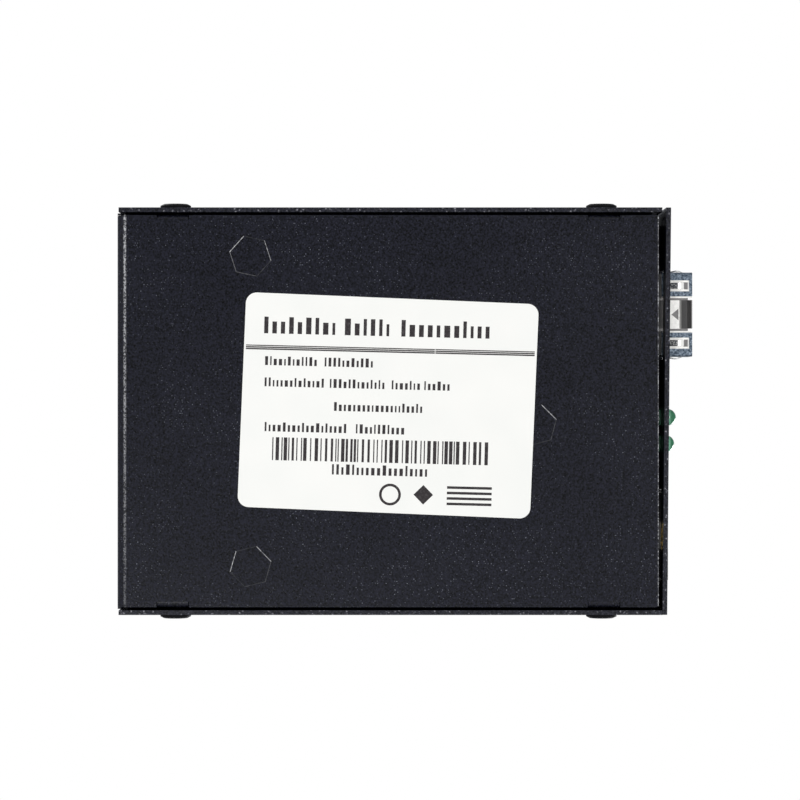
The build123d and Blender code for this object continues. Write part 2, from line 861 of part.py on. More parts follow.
with BuildPart() as rj45_housing:
    block(
        (jack_x - insert_side, insert_front, board_top),
        (jack_x + insert_side, insert_rear, insert_top),
    )
    with BuildSketch(Plane.XZ.offset(-plug_end)):
        with Locations((jack_x, (plug_bottom + plug_top) / 2)):
            Rectangle(plug_width, plug_height)
        with Locations((jack_x, plug_bottom)):
            Rectangle(latch_width, 2 * latch_drop)
    extrude(amount=plug_depth, mode=Mode.SUBTRACT)
    block(
        (jack_x - latch_key_width / 2, insert_front - cut_past, board_top - cut_past),
        (jack_x + latch_key_width / 2, insert_front + latch_key_depth, plug_bottom),
        mode=Mode.SUBTRACT,
    )
    for x in jack_contact_places:
        half = jack_contact_width / 2 + jack_contact_slot
        block(
            (x - half, plug_end - cut_past, plug_top - jack_contact_sheet - 2 * jack_contact_slot),
            (x + half, insert_rear + cut_past, plug_top),
            mode=Mode.SUBTRACT,
        )
        block(
            (x - half, contact_tail - jack_contact_slot, board_top - cut_past),
            (x + half, insert_rear + cut_past, plug_top),
            mode=Mode.SUBTRACT,
        )
    with BuildSketch(Plane.XY.offset(board_top)):
        with Locations(*peg_places):
            Circle(jack_peg_diameter / 2)
    extrude(amount=-board_thickness - jack_peg_tip)
rj45_housing.part.label = "rj45_housing"
export_step(rj45_housing.part, "parts/rj45_housing.step")

contact_level = plug_top - jack_contact_slot
with BuildPart() as rj45_contacts:
    for x in jack_contact_places:
        strip(
            side_section(x),
            [
                (jack_front + jack_contact_start + jack_contact_run, contact_level - jack_contact_drop),
                (jack_front + jack_contact_start, contact_level - jack_contact_sheet - jack_contact_nose),
                (jack_front + jack_contact_start, contact_level - jack_contact_sheet),
                (contact_tail, contact_level - jack_contact_sheet),
                (contact_tail, board_bottom - pin_stub),
            ],
            jack_contact_sheet,
            jack_contact_width,
        )
rj45_contacts.part.label = "rj45_contacts"
export_step(rj45_contacts.part, "parts/rj45_contacts.step")

# Power inlet: moulded block, centre pin and solder terminals
inlet_front = rear_face
inlet_end = inlet_front - inlet_depth
terminal_flat = (inlet_terminal_width, inlet_terminal_sheet)
terminal_turned = (inlet_terminal_sheet, inlet_terminal_width)
tail_top = inlet_level + inlet_pin / 2 + inlet_terminal_sheet
inlet_terminals = (
    (inlet_x, inlet_end + inlet_terminal_slot - inlet_terminal_sheet / 2, terminal_flat, tail_top),
    (inlet_x, inlet_end + inlet_spring_tail, terminal_flat, board_top),
    (inlet_x - inlet_switch_tail[0], inlet_end + inlet_switch_tail[1], terminal_turned, board_top),
)
with BuildPart() as dc_jack_housing:
    block(
        (inlet_x - inlet_width / 2, inlet_front - inlet_face_depth, board_top),
        (inlet_x + inlet_width / 2, inlet_front, board_top + inlet_height),
    )
    with BuildSketch(Plane.XZ.offset(-(inlet_front - inlet_face_depth))):
        with Locations((inlet_x, inlet_level)):
            Circle(inlet_width / 2)
        with Locations((inlet_x, (board_top + inlet_level) / 2)):
            Rectangle(inlet_width, inlet_level - board_top)
    extrude(amount=inlet_depth - inlet_face_depth)
    with BuildSketch(Plane.XZ.offset(-inlet_front)):
        with Locations((inlet_x, inlet_level)):
            Circle(inlet_bore / 2)
    extrude(amount=inlet_bore_depth, mode=Mode.SUBTRACT)
    with BuildSketch(Plane.XZ.offset(-inlet_front)):
        with Locations((inlet_x, inlet_level)):
            Circle(inlet_pin / 2)
    extrude(amount=inlet_depth, mode=Mode.SUBTRACT)
    block(
        (
            inlet_x - inlet_terminal_width / 2 - pin_clearance,
            inlet_end - cut_past,
            board_top - cut_past,
        ),
        (
            inlet_x + inlet_terminal_width / 2 + pin_clearance,
            inlet_end + inlet_terminal_slot,
            tail_top + pin_clearance,
        ),
        mode=Mode.SUBTRACT,
    )
dc_jack_housing.part.label = "dc_jack_housing"
export_step(dc_jack_housing.part, "parts/dc_jack_housing.step")

with BuildPart() as dc_jack_centre_pin:
    with BuildSketch(Plane.XZ.offset(-(inlet_front - inlet_pin_setback))):
        with Locations((inlet_x, inlet_level)):
            Circle(inlet_pin / 2)
    extrude(amount=inlet_depth - inlet_pin_setback - inlet_terminal_slot)
    chamfer(dc_jack_centre_pin.faces().sort_by(Axis.Y)[-1].edges(), inlet_pin_chamfer)
dc_jack_centre_pin.part.label = "dc_jack_centre_pin"
export_step(dc_jack_centre_pin.part, "parts/dc_jack_centre_pin.step")

# Solder terminals: the pin's tail behind, the spring's tail below and the switch's tail at the side
with BuildPart() as dc_jack_terminals:
    for x, y, across, rise in inlet_terminals:
        block(
            (x - across[0] / 2, y - across[1] / 2, board_bottom - pin_stub),
            (x + across[0] / 2, y + across[1] / 2, rise),
        )
dc_jack_terminals.part.label = "dc_jack_terminals"
export_step(dc_jack_terminals.part, "parts/dc_jack_terminals.step")

# Four lamps in a holder
with BuildPart() as led_lenses:
    for x, proud in zip(lamp_columns, lamp_proud):
        tip = front_face - proud
        shoulder = tip + lamp_diameter / 2
        for level in lamp_levels:
            with BuildSketch(Plane(origin=(x, 0, level), x_dir=(0, -1, 0), z_dir=(0, 0, 1))) as half:
                with BuildLine():
                    Polyline(
                        (-shoulder, lamp_diameter / 2),
                        (-(lamp_seat - lamp_flange), lamp_diameter / 2),
                        (-(lamp_seat - lamp_flange), lamp_flange_diameter / 2),
                        (-lamp_seat, lamp_flange_diameter / 2),
                        (-lamp_seat, 0),
                        (-tip, 0),
                    )
                    ThreePointArc(
                        (-tip, 0),
                        (
                            -shoulder + lamp_diameter / 2 * cos(radians(45)),
                            lamp_diameter / 2 * sin(radians(45)),
                        ),
                        (-shoulder, lamp_diameter / 2),
                    )
                make_face()
            revolve(half.sketch, axis=Axis((x, 0, level), (0, 1, 0)))
led_lenses.part.label = "led_lenses"
export_step(led_lenses.part, "parts/led_lenses.step")

holder_half = (lamp_columns[1] - lamp_columns[0] + lamp_flange_diameter) / 2 + lamp_holder_margin
holder_top = lamp_levels[-1] + lamp_flange_diameter / 2 + lamp_holder_margin
lamp_leads = [
    (x + side * lamp_lead_spacing / 2, row)
    for x in lamp_columns
    for side in (-1, 1)
    for row in range(lamp_row_count)
]
with BuildPart() as led_holder:
    block(
        (lamp_middle - holder_half, lamp_seat, board_top),
        (lamp_middle + holder_half, holder_rear, holder_top),
    )
    fillet(led_holder.edges().filter_by(Axis.Y).group_by(Axis.Z)[-1], lamp_holder_margin)
    for x, row in lamp_leads:
        half = lamp_lead / 2 + lamp_lead_clearance
        block(
            (x - half, lamp_seat - cut_past, lamp_levels[row] - half),
            (x + half, holder_rear + cut_past, lamp_levels[row] + half),
            mode=Mode.SUBTRACT,
        )
led_holder.part.label = "led_holder"
export_step(led_holder.part, "parts/led_holder.step")

lead_places = [(x, holder_rear + (row + 1) * lamp_lead_row_step) for x, row in lamp_leads]
with BuildPart() as led_leads:
    for (x, row), (_, place) in zip(lamp_leads, lead_places):
        strip(
            side_section(x),
            [
                (lamp_seat, lamp_levels[row] + lamp_lead / 2),
                (place + lamp_lead / 2, lamp_levels[row] + lamp_lead / 2),
                (place + lamp_lead / 2, board_bottom - pin_stub),
            ],
            lamp_lead,
            lamp_lead,
            Side.RIGHT,
        )
led_leads.part.label = "led_leads"
export_step(led_leads.part, "parts/led_leads.step")


def package(place, size, lift=package_lift):
    """Add the moulded body of a part, lifted a little above the board."""
    x, y = place
    length, width, height = size
    block(
        (x - length / 2, y - width / 2, board_top + lift),
        (x + length / 2, y + width / 2, board_top + lift + height),
    )


def gull_wings(place, size, count, pitch, sides):
    """Add bent leads along the sides of a package; sides are angles about +Z."""
    x, y = place
    length, width, height = size
    for angle in sides:
        out = (cos(radians(angle)), sin(radians(angle)), 0)
        along = (-out[1], out[0], 0)
        face = abs(out[0]) * length / 2 + abs(out[1]) * width / 2
        exit_level = package_lift + height / 2
        for step in evenly(count, pitch):
            strip(
                Plane(
                    origin=(x + step * along[0], y + step * along[1], board_top),
                    x_dir=out,
                    z_dir=(out[1], -out[0], 0),
                ),
                [
                    (face, exit_level + lead_sheet / 2),
                    (face + lead_reach / 3, exit_level + lead_sheet / 2),
                    (face + lead_reach / 2, lead_sheet),
                    (face + lead_reach, lead_sheet),
                ],
                lead_sheet,
                pitch * lead_share,
                Side.RIGHT,
            )


def end_caps(place, size):
    """Add the two metal ends of a small block that lies along X."""
    x, y = place
    length, width, height = size
    for side in (-1, 1):
        middle = x + side * (length + end_cap) / 2
        block(
            (middle - end_cap / 2, y - width / 2, board_top),
            (middle + end_cap / 2, y + width / 2, board_top + height),
        )


# Places of the pieces behind the ports and along the board's rear edge
magnetics_place = (jack_x, jack_rear + magnetics_setback)
crystal_place = (cage_x + crystal_shift, cage_rear + crystal_setback)
memory_place = (cage_x + crystal_shift, cage_rear + memory_setback)
regulator_place = (inlet_x - regulator_shift, board_rear - regulator_setback)
inductor_place = (inlet_x - inductor_shift, board_rear - inductor_setback)
diode_place = (inlet_x - diode_shift, board_rear - diode_setback)
fuse_place = (inlet_x - fuse_shift, board_rear - fuse_setback)
bulk_capacitors = [
    (inlet_x - shift, board_rear - setback, diameter, height)
    for shift, setback, diameter, height in bulk_capacitor_sizes
]
all_round = (0, 90, 180, 270)

with BuildPart() as converter_chip:
    package(converter_chip_place, converter_chip_size)
    chamfer(converter_chip.edges().group_by(Axis.Z)[-1], converter_chip_size[2] / 5)
converter_chip.part.label = "converter_chip"
export_step(converter_chip.part, "parts/converter_chip.step")

with BuildPart() as converter_chip_pins:
    gull_wings(
        converter_chip_place,
        converter_chip_size,
        converter_chip_lead_count,
        converter_chip_pitch,
        all_round,
    )
converter_chip_pins.part.label = "converter_chip_pins"
export_step(converter_chip_pins.part, "parts/converter_chip_pins.step")

with BuildPart() as line_transformer:
    package(magnetics_place, magnetics_size)
    chamfer(line_transformer.edges().group_by(Axis.Z)[-1], magnetics_size[2] / 10)
line_transformer.part.label = "line_transformer"
export_step(line_transformer.part, "parts/line_transformer.step")

with BuildPart() as line_transformer_pins:
    gull_wings(magnetics_place, magnetics_size, magnetics_lead_count, magnetics_pitch, (90, 270))
line_transformer_pins.part.label = "line_transformer_pins"
export_step(line_transformer_pins.part, "parts/line_transformer_pins.step")

with BuildPart() as memory_chip:
    package(memory_place, small_chip_size)
    chamfer(memory_chip.edges().group_by(Axis.Z)[-1], small_chip_size[2] / 5)
memory_chip.part.label = "memory_chip"
export_step(memory_chip.part, "parts/memory_chip.step")

with BuildPart() as regulator_chip:
    package(regulator_place, small_chip_size)
    chamfer(regulator_chip.edges().group_by(Axis.Z)[-1], small_chip_size[2] / 5)
regulator_chip.part.label = "regulator_chip"
export_step(regulator_chip.part, "parts/regulator_chip.step")

with BuildPart() as small_chip_pins:
    for place in (memory_place, regulator_place):
        gull_wings(place, small_chip_size, small_chip_lead_count, small_chip_pitch, (0, 180))
small_chip_pins.part.label = "small_chip_pins"
export_step(small_chip_pins.part, "parts/small_chip_pins.step")

# Power inductor: drum core between two flanges
with BuildPart() as power_inductor:
    length, width, height = inductor_size
    for level in (board_top, board_top + height - inductor_flange):
        with BuildSketch(Plane.XY.offset(level)):
            with Locations(inductor_place):
                RectangleRounded(length, width, length / 5)
        extrude(amount=inductor_flange)
    with BuildSketch(Plane.XY.offset(board_top)):
        with Locations(inductor_place):
            Circle(inductor_drum / 2)
    extrude(amount=height)
power_inductor.part.label = "power_inductor"
export_step(power_inductor.part, "parts/power_inductor.step")

# Crystal in a drawn can with a rim
crystal_leads = [(crystal_place[0] + step, crystal_place[1]) for step in evenly(2, crystal_lead_spacing)]
with BuildPart() as crystal:
    for outline, height in ((0, crystal_rim), (2 * crystal_rim, crystal_height)):
        with BuildSketch(Plane.XY.offset(board_top)):
            with Locations(crystal_place):
                SlotOverall(crystal_length - outline, crystal_width - outline)
        extrude(amount=height)
    chamfer(crystal.faces().sort_by(Axis.Z)[-1].edges(), crystal_rim)
    with BuildSketch(Plane.XY.offset(board_top)):
        with Locations(*crystal_leads):
            Circle(crystal_lead / 2)
    extrude(amount=-board_thickness - pin_stub)
crystal.part.label = "crystal"
export_step(crystal.part, "parts/crystal.step")

# Bulk capacitors with their crimp groove
with BuildPart() as bulk_capacitor_cans:
    for x, y, diameter, height in bulk_capacitors:
        with BuildSketch(Plane.XY.offset(board_top)):
            with Locations((x, y)):
                Circle(diameter / 2)
        extrude(amount=height)
        chamfer(faces(Select.LAST).sort_by(Axis.Z)[-1].edges(), capacitor_groove)
        with BuildSketch(Plane.XY.offset(board_top + diameter / 4)):
            with Locations((x, y)):
                Circle(diameter / 2)
                Circle(diameter / 2 - capacitor_groove, mode=Mode.SUBTRACT)
        extrude(amount=2 * capacitor_groove, mode=Mode.SUBTRACT)
        with BuildSketch(Plane.XY.offset(board_top)):
            with Locations(*[(x + step, y) for step in evenly(2, capacitor_lead_spacing)]):
                Circle(capacitor_lead / 2)
        extrude(amount=-board_thickness - pin_stub)
bulk_capacitor_cans.part.label = "bulk_capacitor_cans"
export_step(bulk_capacitor_cans.part, "parts/bulk_capacitor_cans.step")

with BuildPart() as rectifier_diode:
    package(diode_place, diode_size, 0)
rectifier_diode.part.label = "rectifier_diode"
export_step(rectifier_diode.part, "parts/rectifier_diode.step")

with BuildPart() as input_fuse:
    package(fuse_place, fuse_size, 0)
input_fuse.part.label = "input_fuse"
export_step(input_fuse.part, "parts/input_fuse.step")

with BuildPart() as power_end_caps:
    end_caps(diode_place, diode_size)
    end_caps(fuse_place, fuse_size)
power_end_caps.part.label = "power_end_caps"
export_step(power_end_caps.part, "parts/power_end_caps.step")

# Small ceramic capacitors beside the chips, and resistors for the lamps and the line
chip_x, chip_y = converter_chip_place
ceramic_rows = (
    (chip_x, chip_y + converter_chip_size[1] / 2 + chip_ceramic_setback, chip_ceramic_count),
    (regulator_place[0], regulator_place[1] + regulator_ceramic_setback, regulator_ceramic_count),
)
resistor_rows = (
    (lamp_middle, holder_rear + lamp_resistor_setback, lamp_resistor_count),
    (memory_place[0], memory_place[1] + memory_resistor_setback, memory_resistor_count),
    (jack_x, magnetics_place[1] + line_resistor_setback, line_resistor_count),
)

with BuildPart() as ceramic_capacitors:
    for x, y, count in ceramic_rows:
        for step in evenly(count, ceramic_pitch):
            package((x + step, y), ceramic_size, 0)
ceramic_capacitors.part.label = "ceramic_capacitors"
export_step(ceramic_capacitors.part, "parts/ceramic_capacitors.step")

with BuildPart() as chip_resistors:
    for x, y, count in resistor_rows:
        for step in evenly(count, resistor_pitch):
            package((x + step, y), resistor_size, 0)
chip_resistors.part.label = "chip_resistors"
export_step(chip_resistors.part, "parts/chip_resistors.step")

# Board with a hole for every screw, peg and pin; narrow holes have few sides
round_pins = [(x, y, crystal_lead) for x, y in crystal_leads]
round_pins += [
    (x + step, y, capacitor_lead)
    for x, y, _, _ in bulk_capacitors
    for step in evenly(2, capacitor_lead_spacing)
]
round_pins += [(x, y, jack_peg_diameter) for x, y in peg_places]
round_pins += [
    (x, contact_tail + jack_contact_sheet / 2, jack_contact_width * sqrt(2)) for x in jack_contact_places
]
round_pins += [(x, y, lamp_lead * sqrt(2)) for x, y in lead_places]
square_pins = [(x, y, cage_wall, cage_pin_width) for x, y in cage_pins]
square_pins += [(x, y, jack_shield, shield_tab_width) for x, y in shield_tab_places]
square_pins += [(x, y, *across) for x, y, across, _ in inlet_terminals]
with BuildPart() as pcb:
    with BuildSketch(Plane.XY.offset(board_bottom)):
        with Locations((0, (board_front + board_rear) / 2)):
            RectangleRounded(2 * board_side, board_rear - board_front, board_corner_radius)
        with Locations((cage_x, board_front)):
            Rectangle(board_notch_width, 2 * board_notch_depth, mode=Mode.SUBTRACT)
        for x, y, turn in standoffs:
            with Locations((x, y)):
                Circle(screw_thread / 2 + board_hole_clearance, mode=Mode.SUBTRACT)
        for x, y, diameter in round_pins:
            radius = diameter / 2 + pin_clearance
            with Locations((x, y)):
                if diameter > wide_hole:
                    Circle(radius, mode=Mode.SUBTRACT)
                else:
                    RegularPolygon(
                        radius, narrow_hole_sides, major_radius=False, mode=Mode.SUBTRACT
                    )
        for x, y, width, length in square_pins:
            with Locations((x, y)):
                Rectangle(width + 2 * pin_clearance, length + 2 * pin_clearance, mode=Mode.SUBTRACT)
    extrude(amount=board_thickness)
pcb.part.label = "pcb"
export_step(pcb.part, "parts/pcb.step")
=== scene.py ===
import json
import math
import random

import bmesh
import bpy
from mathutils import Matrix, Vector


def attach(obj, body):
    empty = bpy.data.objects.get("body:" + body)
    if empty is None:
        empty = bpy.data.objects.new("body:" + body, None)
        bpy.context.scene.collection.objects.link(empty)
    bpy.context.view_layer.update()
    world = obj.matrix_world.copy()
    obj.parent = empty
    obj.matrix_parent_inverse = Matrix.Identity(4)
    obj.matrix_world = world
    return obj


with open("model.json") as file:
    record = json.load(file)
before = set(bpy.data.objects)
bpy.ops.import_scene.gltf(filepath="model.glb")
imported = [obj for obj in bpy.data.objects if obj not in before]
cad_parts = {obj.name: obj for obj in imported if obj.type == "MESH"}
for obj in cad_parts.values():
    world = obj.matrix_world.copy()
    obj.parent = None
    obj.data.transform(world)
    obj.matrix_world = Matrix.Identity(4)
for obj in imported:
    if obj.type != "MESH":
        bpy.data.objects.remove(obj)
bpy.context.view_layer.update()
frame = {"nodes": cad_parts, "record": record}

MM = 0.001


# Places read from the frame, in millimetres

def corners_of(node):
    """The lowest and the highest corner of a node."""
    points = [vertex.co / MM for vertex in frame["nodes"][node].data.vertices]
    low = Vector([min(point[axis] for point in points) for axis in range(3)])
    high = Vector([max(point[axis] for point in points) for axis in range(3)])
    return low, high


# Thickness of the tray, and how far the painted highlight on its bend lies before the rear face
SHEET = 0.8
BEND_SETBACK = 1.4
# How far to each side of the middle the painted highlight of that bend goes on fading
HIGHLIGHT_REACH = 34.0
tray_low, tray_high = corners_of("base_tray")
PLATE_TOP = tray_low.z + SHEET
PLATE_FRONT = tray_low.y
REAR_BEND = tray_high.y - BEND_SETBACK
# The port panel's face lies as far forward as the tray's rear face lies back
PANEL_FACE = -tray_high.y

# How far out from the cage a finger counts as standing proud of the collar
COLLAR_STANDOFF = 0.19
cage_low, cage_high = corners_of("sfp_cage")
slot_mount = next(mount for mount in frame["record"]["mounts"] if mount["name"] == "sfp_slot")
CAGE_MIDDLE = Vector(slot_mount["pos_m"]) / MM
CAGE_MOUTH = cage_low.y
# The cage's lip hangs below its floor, so the floor is mirrored from the ceiling
CAGE_FLOOR = 2 * CAGE_MIDDLE.z - cage_high.z
COLLAR_HALF = {
    "X": cage_high.x - CAGE_MIDDLE.x + COLLAR_STANDOFF,
    "Z": cage_high.z - CAGE_MIDDLE.z + COLLAR_STANDOFF,
}

# Radius of the flange at the foot of a lens
LENS_FLANGE = 1.75
lens_low, lens_high = corners_of("led_lenses")
LAMP_COLUMNS = (lens_low.x + LENS_FLANGE, lens_high.x - LENS_FLANGE)
# The mesh falls 0.005 mm short of the round flange below and above, which the rounding mends
LAMP_LEVELS = (round(lens_low.z + LENS_FLANGE, 2), round(lens_high.z - LENS_FLANGE, 2))
LAMP_SEAT = lens_high.y

label_low, label_high = corners_of("label")
LABEL_CENTRE = (label_low + label_high) / 2

# Place across, place along and turn in degrees of each clinched hexagon, and its width over flats
HEXAGONS = ((-27.0, 24.85, 42.0), (27.05, 24.8, 16.0), (2.4, -24.9, 15.0))
HEXAGON_WIDTH = 6.3


# Colour and nodes

def linear(code):
    """Turns an sRGB hex colour into the linear colour that a shader takes."""
    channels = [int(code[place:place + 2], 16) / 255 for place in (1, 3, 5)]
    return tuple(
        ((value + 0.055) / 1.055) ** 2.4 if value > 0.04045 else value / 12.92 for value in channels
    ) + (1.0,)


def scaled(colour, share, lift=0.0):
    """A linear colour times a share, raised by a lift and held at white."""
    return tuple(min(1.0, share * value + lift) for value in colour[:3]) + (1.0,)


def add(tree, kind, sockets=None, **settings):
    """Adds one shader node and gives its outputs; a socket takes a value, or an output to link."""
    node = tree.nodes.new("ShaderNode" + kind)
    for name, value in settings.items():
        setattr(node, name, value)
    for name, value in (sockets or {}).items():
        if isinstance(value, bpy.types.NodeSocket):
            tree.links.new(value, node.inputs[name])
        else:
            node.inputs[name].default_value = value
    return node.outputs


def new_material(name):
    """An empty material, its node tree and the point that is shaded, on the piece's own axes."""
    material = bpy.data.materials.new(name)
    material.use_nodes = True
    tree = material.node_tree
    tree.nodes.clear()
    return material, tree, add(tree, "TexCoord")["Object"]


def per_metre(spacing):
    """The scale of a pattern whose features lie so many millimetres apart."""
    return 1.0 / (spacing * MM)


# Finishes of the case

def textured_coat(tree, place):
    """Colour, gloss and relief of the baked black coat, for every piece that carries it.

    The coat reads as a near-black blue grey. Its grain breaks the sheen up, and here and there
    a painted glint stands for a grain that catches the light.
    """
    # The baked grain is about 0.3 mm across
    grain = add(tree, "TexNoise", {"Vector": place, "Scale": per_metre(0.32), "Detail": 2.0})["Fac"]
    tone = add(tree, "MapRange", {"Value": grain, "From Min": 0.38, "From Max": 0.62})[0]
    coat = add(
        tree, "Mix", {0: tone, 6: linear("#040507"), 7: linear("#1c1d29")}, data_type="RGBA"
    )[2]
    # The film's thickness drifts over about 20 mm
    drift = add(tree, "TexNoise", {"Vector": place, "Scale": per_metre(20.0), "Detail": 2.0})["Fac"]
    thick = add(tree, "MapRange", {
        "Value": drift, "From Min": 0.3, "From Max": 0.7, "To Max": 0.25,
    })[0]
    coat = add(tree, "Mix", {0: thick, 6: coat, 7: linear("#24252f")}, data_type="RGBA")[2]
    # Painted glints lie in cells of 0.38 mm, and only some of the cells have one
    cell = add(tree, "TexVoronoi", {"Vector": place, "Scale": per_metre(0.38)})
    chance = add(tree, "SeparateColor", {"Color": cell["Color"]})[0]
    few = add(tree, "MapRange", {"Value": chance, "From Min": 0.35, "From Max": 1.0})[0]
    fewer = add(tree, "Math", {0: few, 1: few}, operation="MULTIPLY")[0]
    spot = add(tree, "MapRange", {"Value": cell["Distance"], "From Min": 0.28, "From Max": 0.13})[0]
    # proud here is the share of the painted glints
    proud = add(tree, "Math", {0: spot, 1: fewer}, operation="MULTIPLY")[0]
    patch = add(tree, "MapRange", {
        "Value": drift, "From Min": 0.38, "From Max": 0.62, "To Min": 0.12, "To Max": 0.88,
    })[0]
    proud = add(tree, "Math", {0: proud, 1: patch}, operation="MULTIPLY")[0]
    coat = add(tree, "Mix", {0: proud, 6: coat, 7: linear("#888c98")}, data_type="RGBA")[2]
    gloss = add(tree, "MapRange", {
        "Value": grain, "From Min": 0.3, "From Max": 0.7, "To Min": 0.27, "To Max": 0.37,
    })[0]
    relief = add(tree, "Bump", {"Height": grain, "Strength": 0.6, "Distance": 0.05 * MM})[0]
    return coat, gloss, relief


def powder_coated_steel(name, thin_or_highlight_share, edge_or_highlight_colour):
    """Mild steel under the black coat: pale where the coat runs thin at the cover's cut edges, and a
    painted highlight on the tray's edges.
    """
    material, tree, place = new_material(name)
    coat, gloss, relief = textured_coat(tree, place)
    flakes = add(tree, "TexNoise", {"Vector": place, "Scale": per_metre(0.26), "Detail": 1.0})["Fac"]
    chips = add(tree, "MapRange", {
        "Value": flakes, "From Min": 0.42, "From Max": 0.58, "To Min": 0.1,
    })[0]
    # The pale share is thin coat on the cover and a painted highlight on the tray
    thin = add(tree, "Math", {0: thin_or_highlight_share(tree, place), 1: chips}, operation="MULTIPLY")[0]
    colour = add(tree, "Mix", {0: thin, 6: coat, 7: linear(edge_or_highlight_colour)}, data_type="RGBA")[2]
    surface = add(tree, "BsdfPrincipled", {
        "Base Color": colour, "Roughness": gloss, "Specular IOR Level": 0.16, "Normal": relief,
    })[0]
    add(tree, "OutputMaterial", {"Surface": surface})
    return material


def cover_edges(tree, place):
    """Share of the cover's cut lower edges, highest at the nicks that the shear left."""
    height = add(tree, "SeparateXYZ", {"Vector": place})["Z"]
    edge = add(tree, "MapRange", {"Value": height, "From Min": 0.2 * MM, "From Max": 0.12 * MM})[0]
    away = add(tree, "TexVoronoi", {"Vector": place, "Scale": per_metre(0.7)})["Distance"]
    nick = add(tree, "MapRange", {
        "Value": away, "From Min": 0.3, "From Max": 0.12, "To Min": 0.07,
    })[0]
    return add(tree, "Math", {0: edge, 1: nick}, operation="MULTIPLY")[0]


def painted_tray_highlights(tree, place):
    """Share of the painted highlight on the tray's punched front edge and, fading across the box, on
    its rear bend.
    """
    where = add(tree, "SeparateXYZ", {"Vector": place})
    # Painted highlight along the punched front edge, broken into dots
    front = add(tree, "MapRange", {
        "Value": where["Y"],
        "From Min": (PLATE_FRONT + 0.2) * MM, "From Max": (PLATE_FRONT + 0.1) * MM,
    })[0]
    highlight_dots = add(tree, "TexNoise", {"Vector": place, "Scale": per_metre(0.5), "Detail": 1.0})["Fac"]
    nick = add(tree, "MapRange", {
        "Value": highlight_dots, "From Min": 0.42, "From Max": 0.54, "To Min": 0.26,
    })[0]
    front = add(tree, "Math", {0: front, 1: nick}, operation="MULTIPLY")[0]
    # Painted highlight along the rear bend, stronger towards one side as the light falls
    rise = add(tree, "MapRange", {
        "Value": where["Y"],
        "From Min": (REAR_BEND - 0.3) * MM, "From Max": (REAR_BEND - 0.05) * MM,
    })[0]
    fall = add(tree, "MapRange", {
        "Value": where["Y"],
        "From Min": (REAR_BEND + 0.36) * MM, "From Max": (REAR_BEND + 0.05) * MM,
    })[0]
    fading = add(tree, "MapRange", {
        "Value": where["X"],
        "From Min": HIGHLIGHT_REACH * MM, "From Max": -HIGHLIGHT_REACH * MM, "To Min": 0.18, "To Max": 0.84,
    })[0]
    low = add(tree, "MapRange", {
        "Value": where["Z"], "From Min": SHEET * MM, "From Max": 0.5 * MM,
    })[0]
    bend = add(tree, "Math", {0: rise, 1: fall}, operation="MULTIPLY")[0]
    bend = add(tree, "Math", {0: bend, 1: fading}, operation="MULTIPLY")[0]
    bend = add(tree, "Math", {0: bend, 1: low}, operation="MULTIPLY")[0]
    return add(tree, "Math", {0: front, 1: bend}, operation="MAXIMUM")[0]


def clinched_steel():
    """Steel standoffs: coated over on the outer face, bright plated on the post inside."""
    material, tree, place = new_material("clinched_steel")
    coat, gloss, relief = textured_coat(tree, place)
    height = add(tree, "SeparateXYZ", {"Vector": place})["Z"]
    inside = add(tree, "MapRange", {
        "Value": height, "From Min": PLATE_TOP * MM, "From Max": (PLATE_TOP + 0.02) * MM,
    })[0]
    colour = add(tree, "Mix", {0: inside, 6: coat, 7: linear("#b9b8b0")}, data_type="RGBA")[2]
    surface = add(tree, "BsdfPrincipled", {
        "Base Color": colour, "Metallic": inside, "Roughness": gloss, "Specular IOR Level": 0.16,
        "Normal": relief,
    })[0]
    add(tree, "OutputMaterial", {"Surface": surface})
    return material


def bridged_coat():
    """The coat's thin bead over each clinched edge, with a painted highlight on some sides only."""
    material, tree, place = new_material("bridged_coat")
    sides = add(tree, "Attribute", attribute_name="bead_highlight")["Fac"]
    # The painted highlight is broken into dots
    flakes = add(tree, "TexNoise", {"Vector": place, "Scale": per_metre(0.5), "Detail": 2.0})["Fac"]
    chips = add(tree, "MapRange", {
        "Value": flakes, "From Min": 0.35, "From Max": 0.6, "To Min": 0.3,
    })[0]
    highlit = add(tree, "Math", {0: sides, 1: chips}, operation="MULTIPLY")[0]
    colour = add(
        tree, "Mix", {0: highlit, 6: linear("#15161c"), 7: linear("#d6d7da")}, data_type="RGBA"
    )[2]
    surface = add(tree, "BsdfPrincipled", {
        "Base Color": colour, "Roughness": 0.4, "Specular IOR Level": 0.16,
    })[0]
    add(tree, "OutputMaterial", {"Surface": surface})
    return material


def blackened_steel():
    """Screw steel with a black oxide skin: almost no colour, a dull oily sheen."""
    material, tree, place = new_material("blackened_steel")
    bloom = add(tree, "TexNoise", {"Vector": place, "Scale": per_metre(0.6), "Detail": 3.0})["Fac"]
    patch = add(tree, "MapRange", {"Value": bloom, "From Min": 0.35, "From Max": 0.7})[0]
    colour = add(
        tree, "Mix", {0: patch, 6: linear("#08080a"), 7: linear("#131317")}, data_type="RGBA"
    )[2]
    sheen = add(tree, "MapRange", {
        "Value": bloom, "From Min": 0.3, "From Max": 0.7, "To Min": 0.5, "To Max": 0.62,
    })[0]
    relief = add(tree, "Bump", {"Height": bloom, "Strength": 0.15, "Distance": 0.02 * MM})[0]
    surface = add(tree, "BsdfPrincipled", {
        "Base Color": colour, "Roughness": sheen, "Specular IOR Level": 0.1, "Normal": relief,
    })[0]
    add(tree, "OutputMaterial", {"Surface": surface})
    return material


# Finishes of the ports

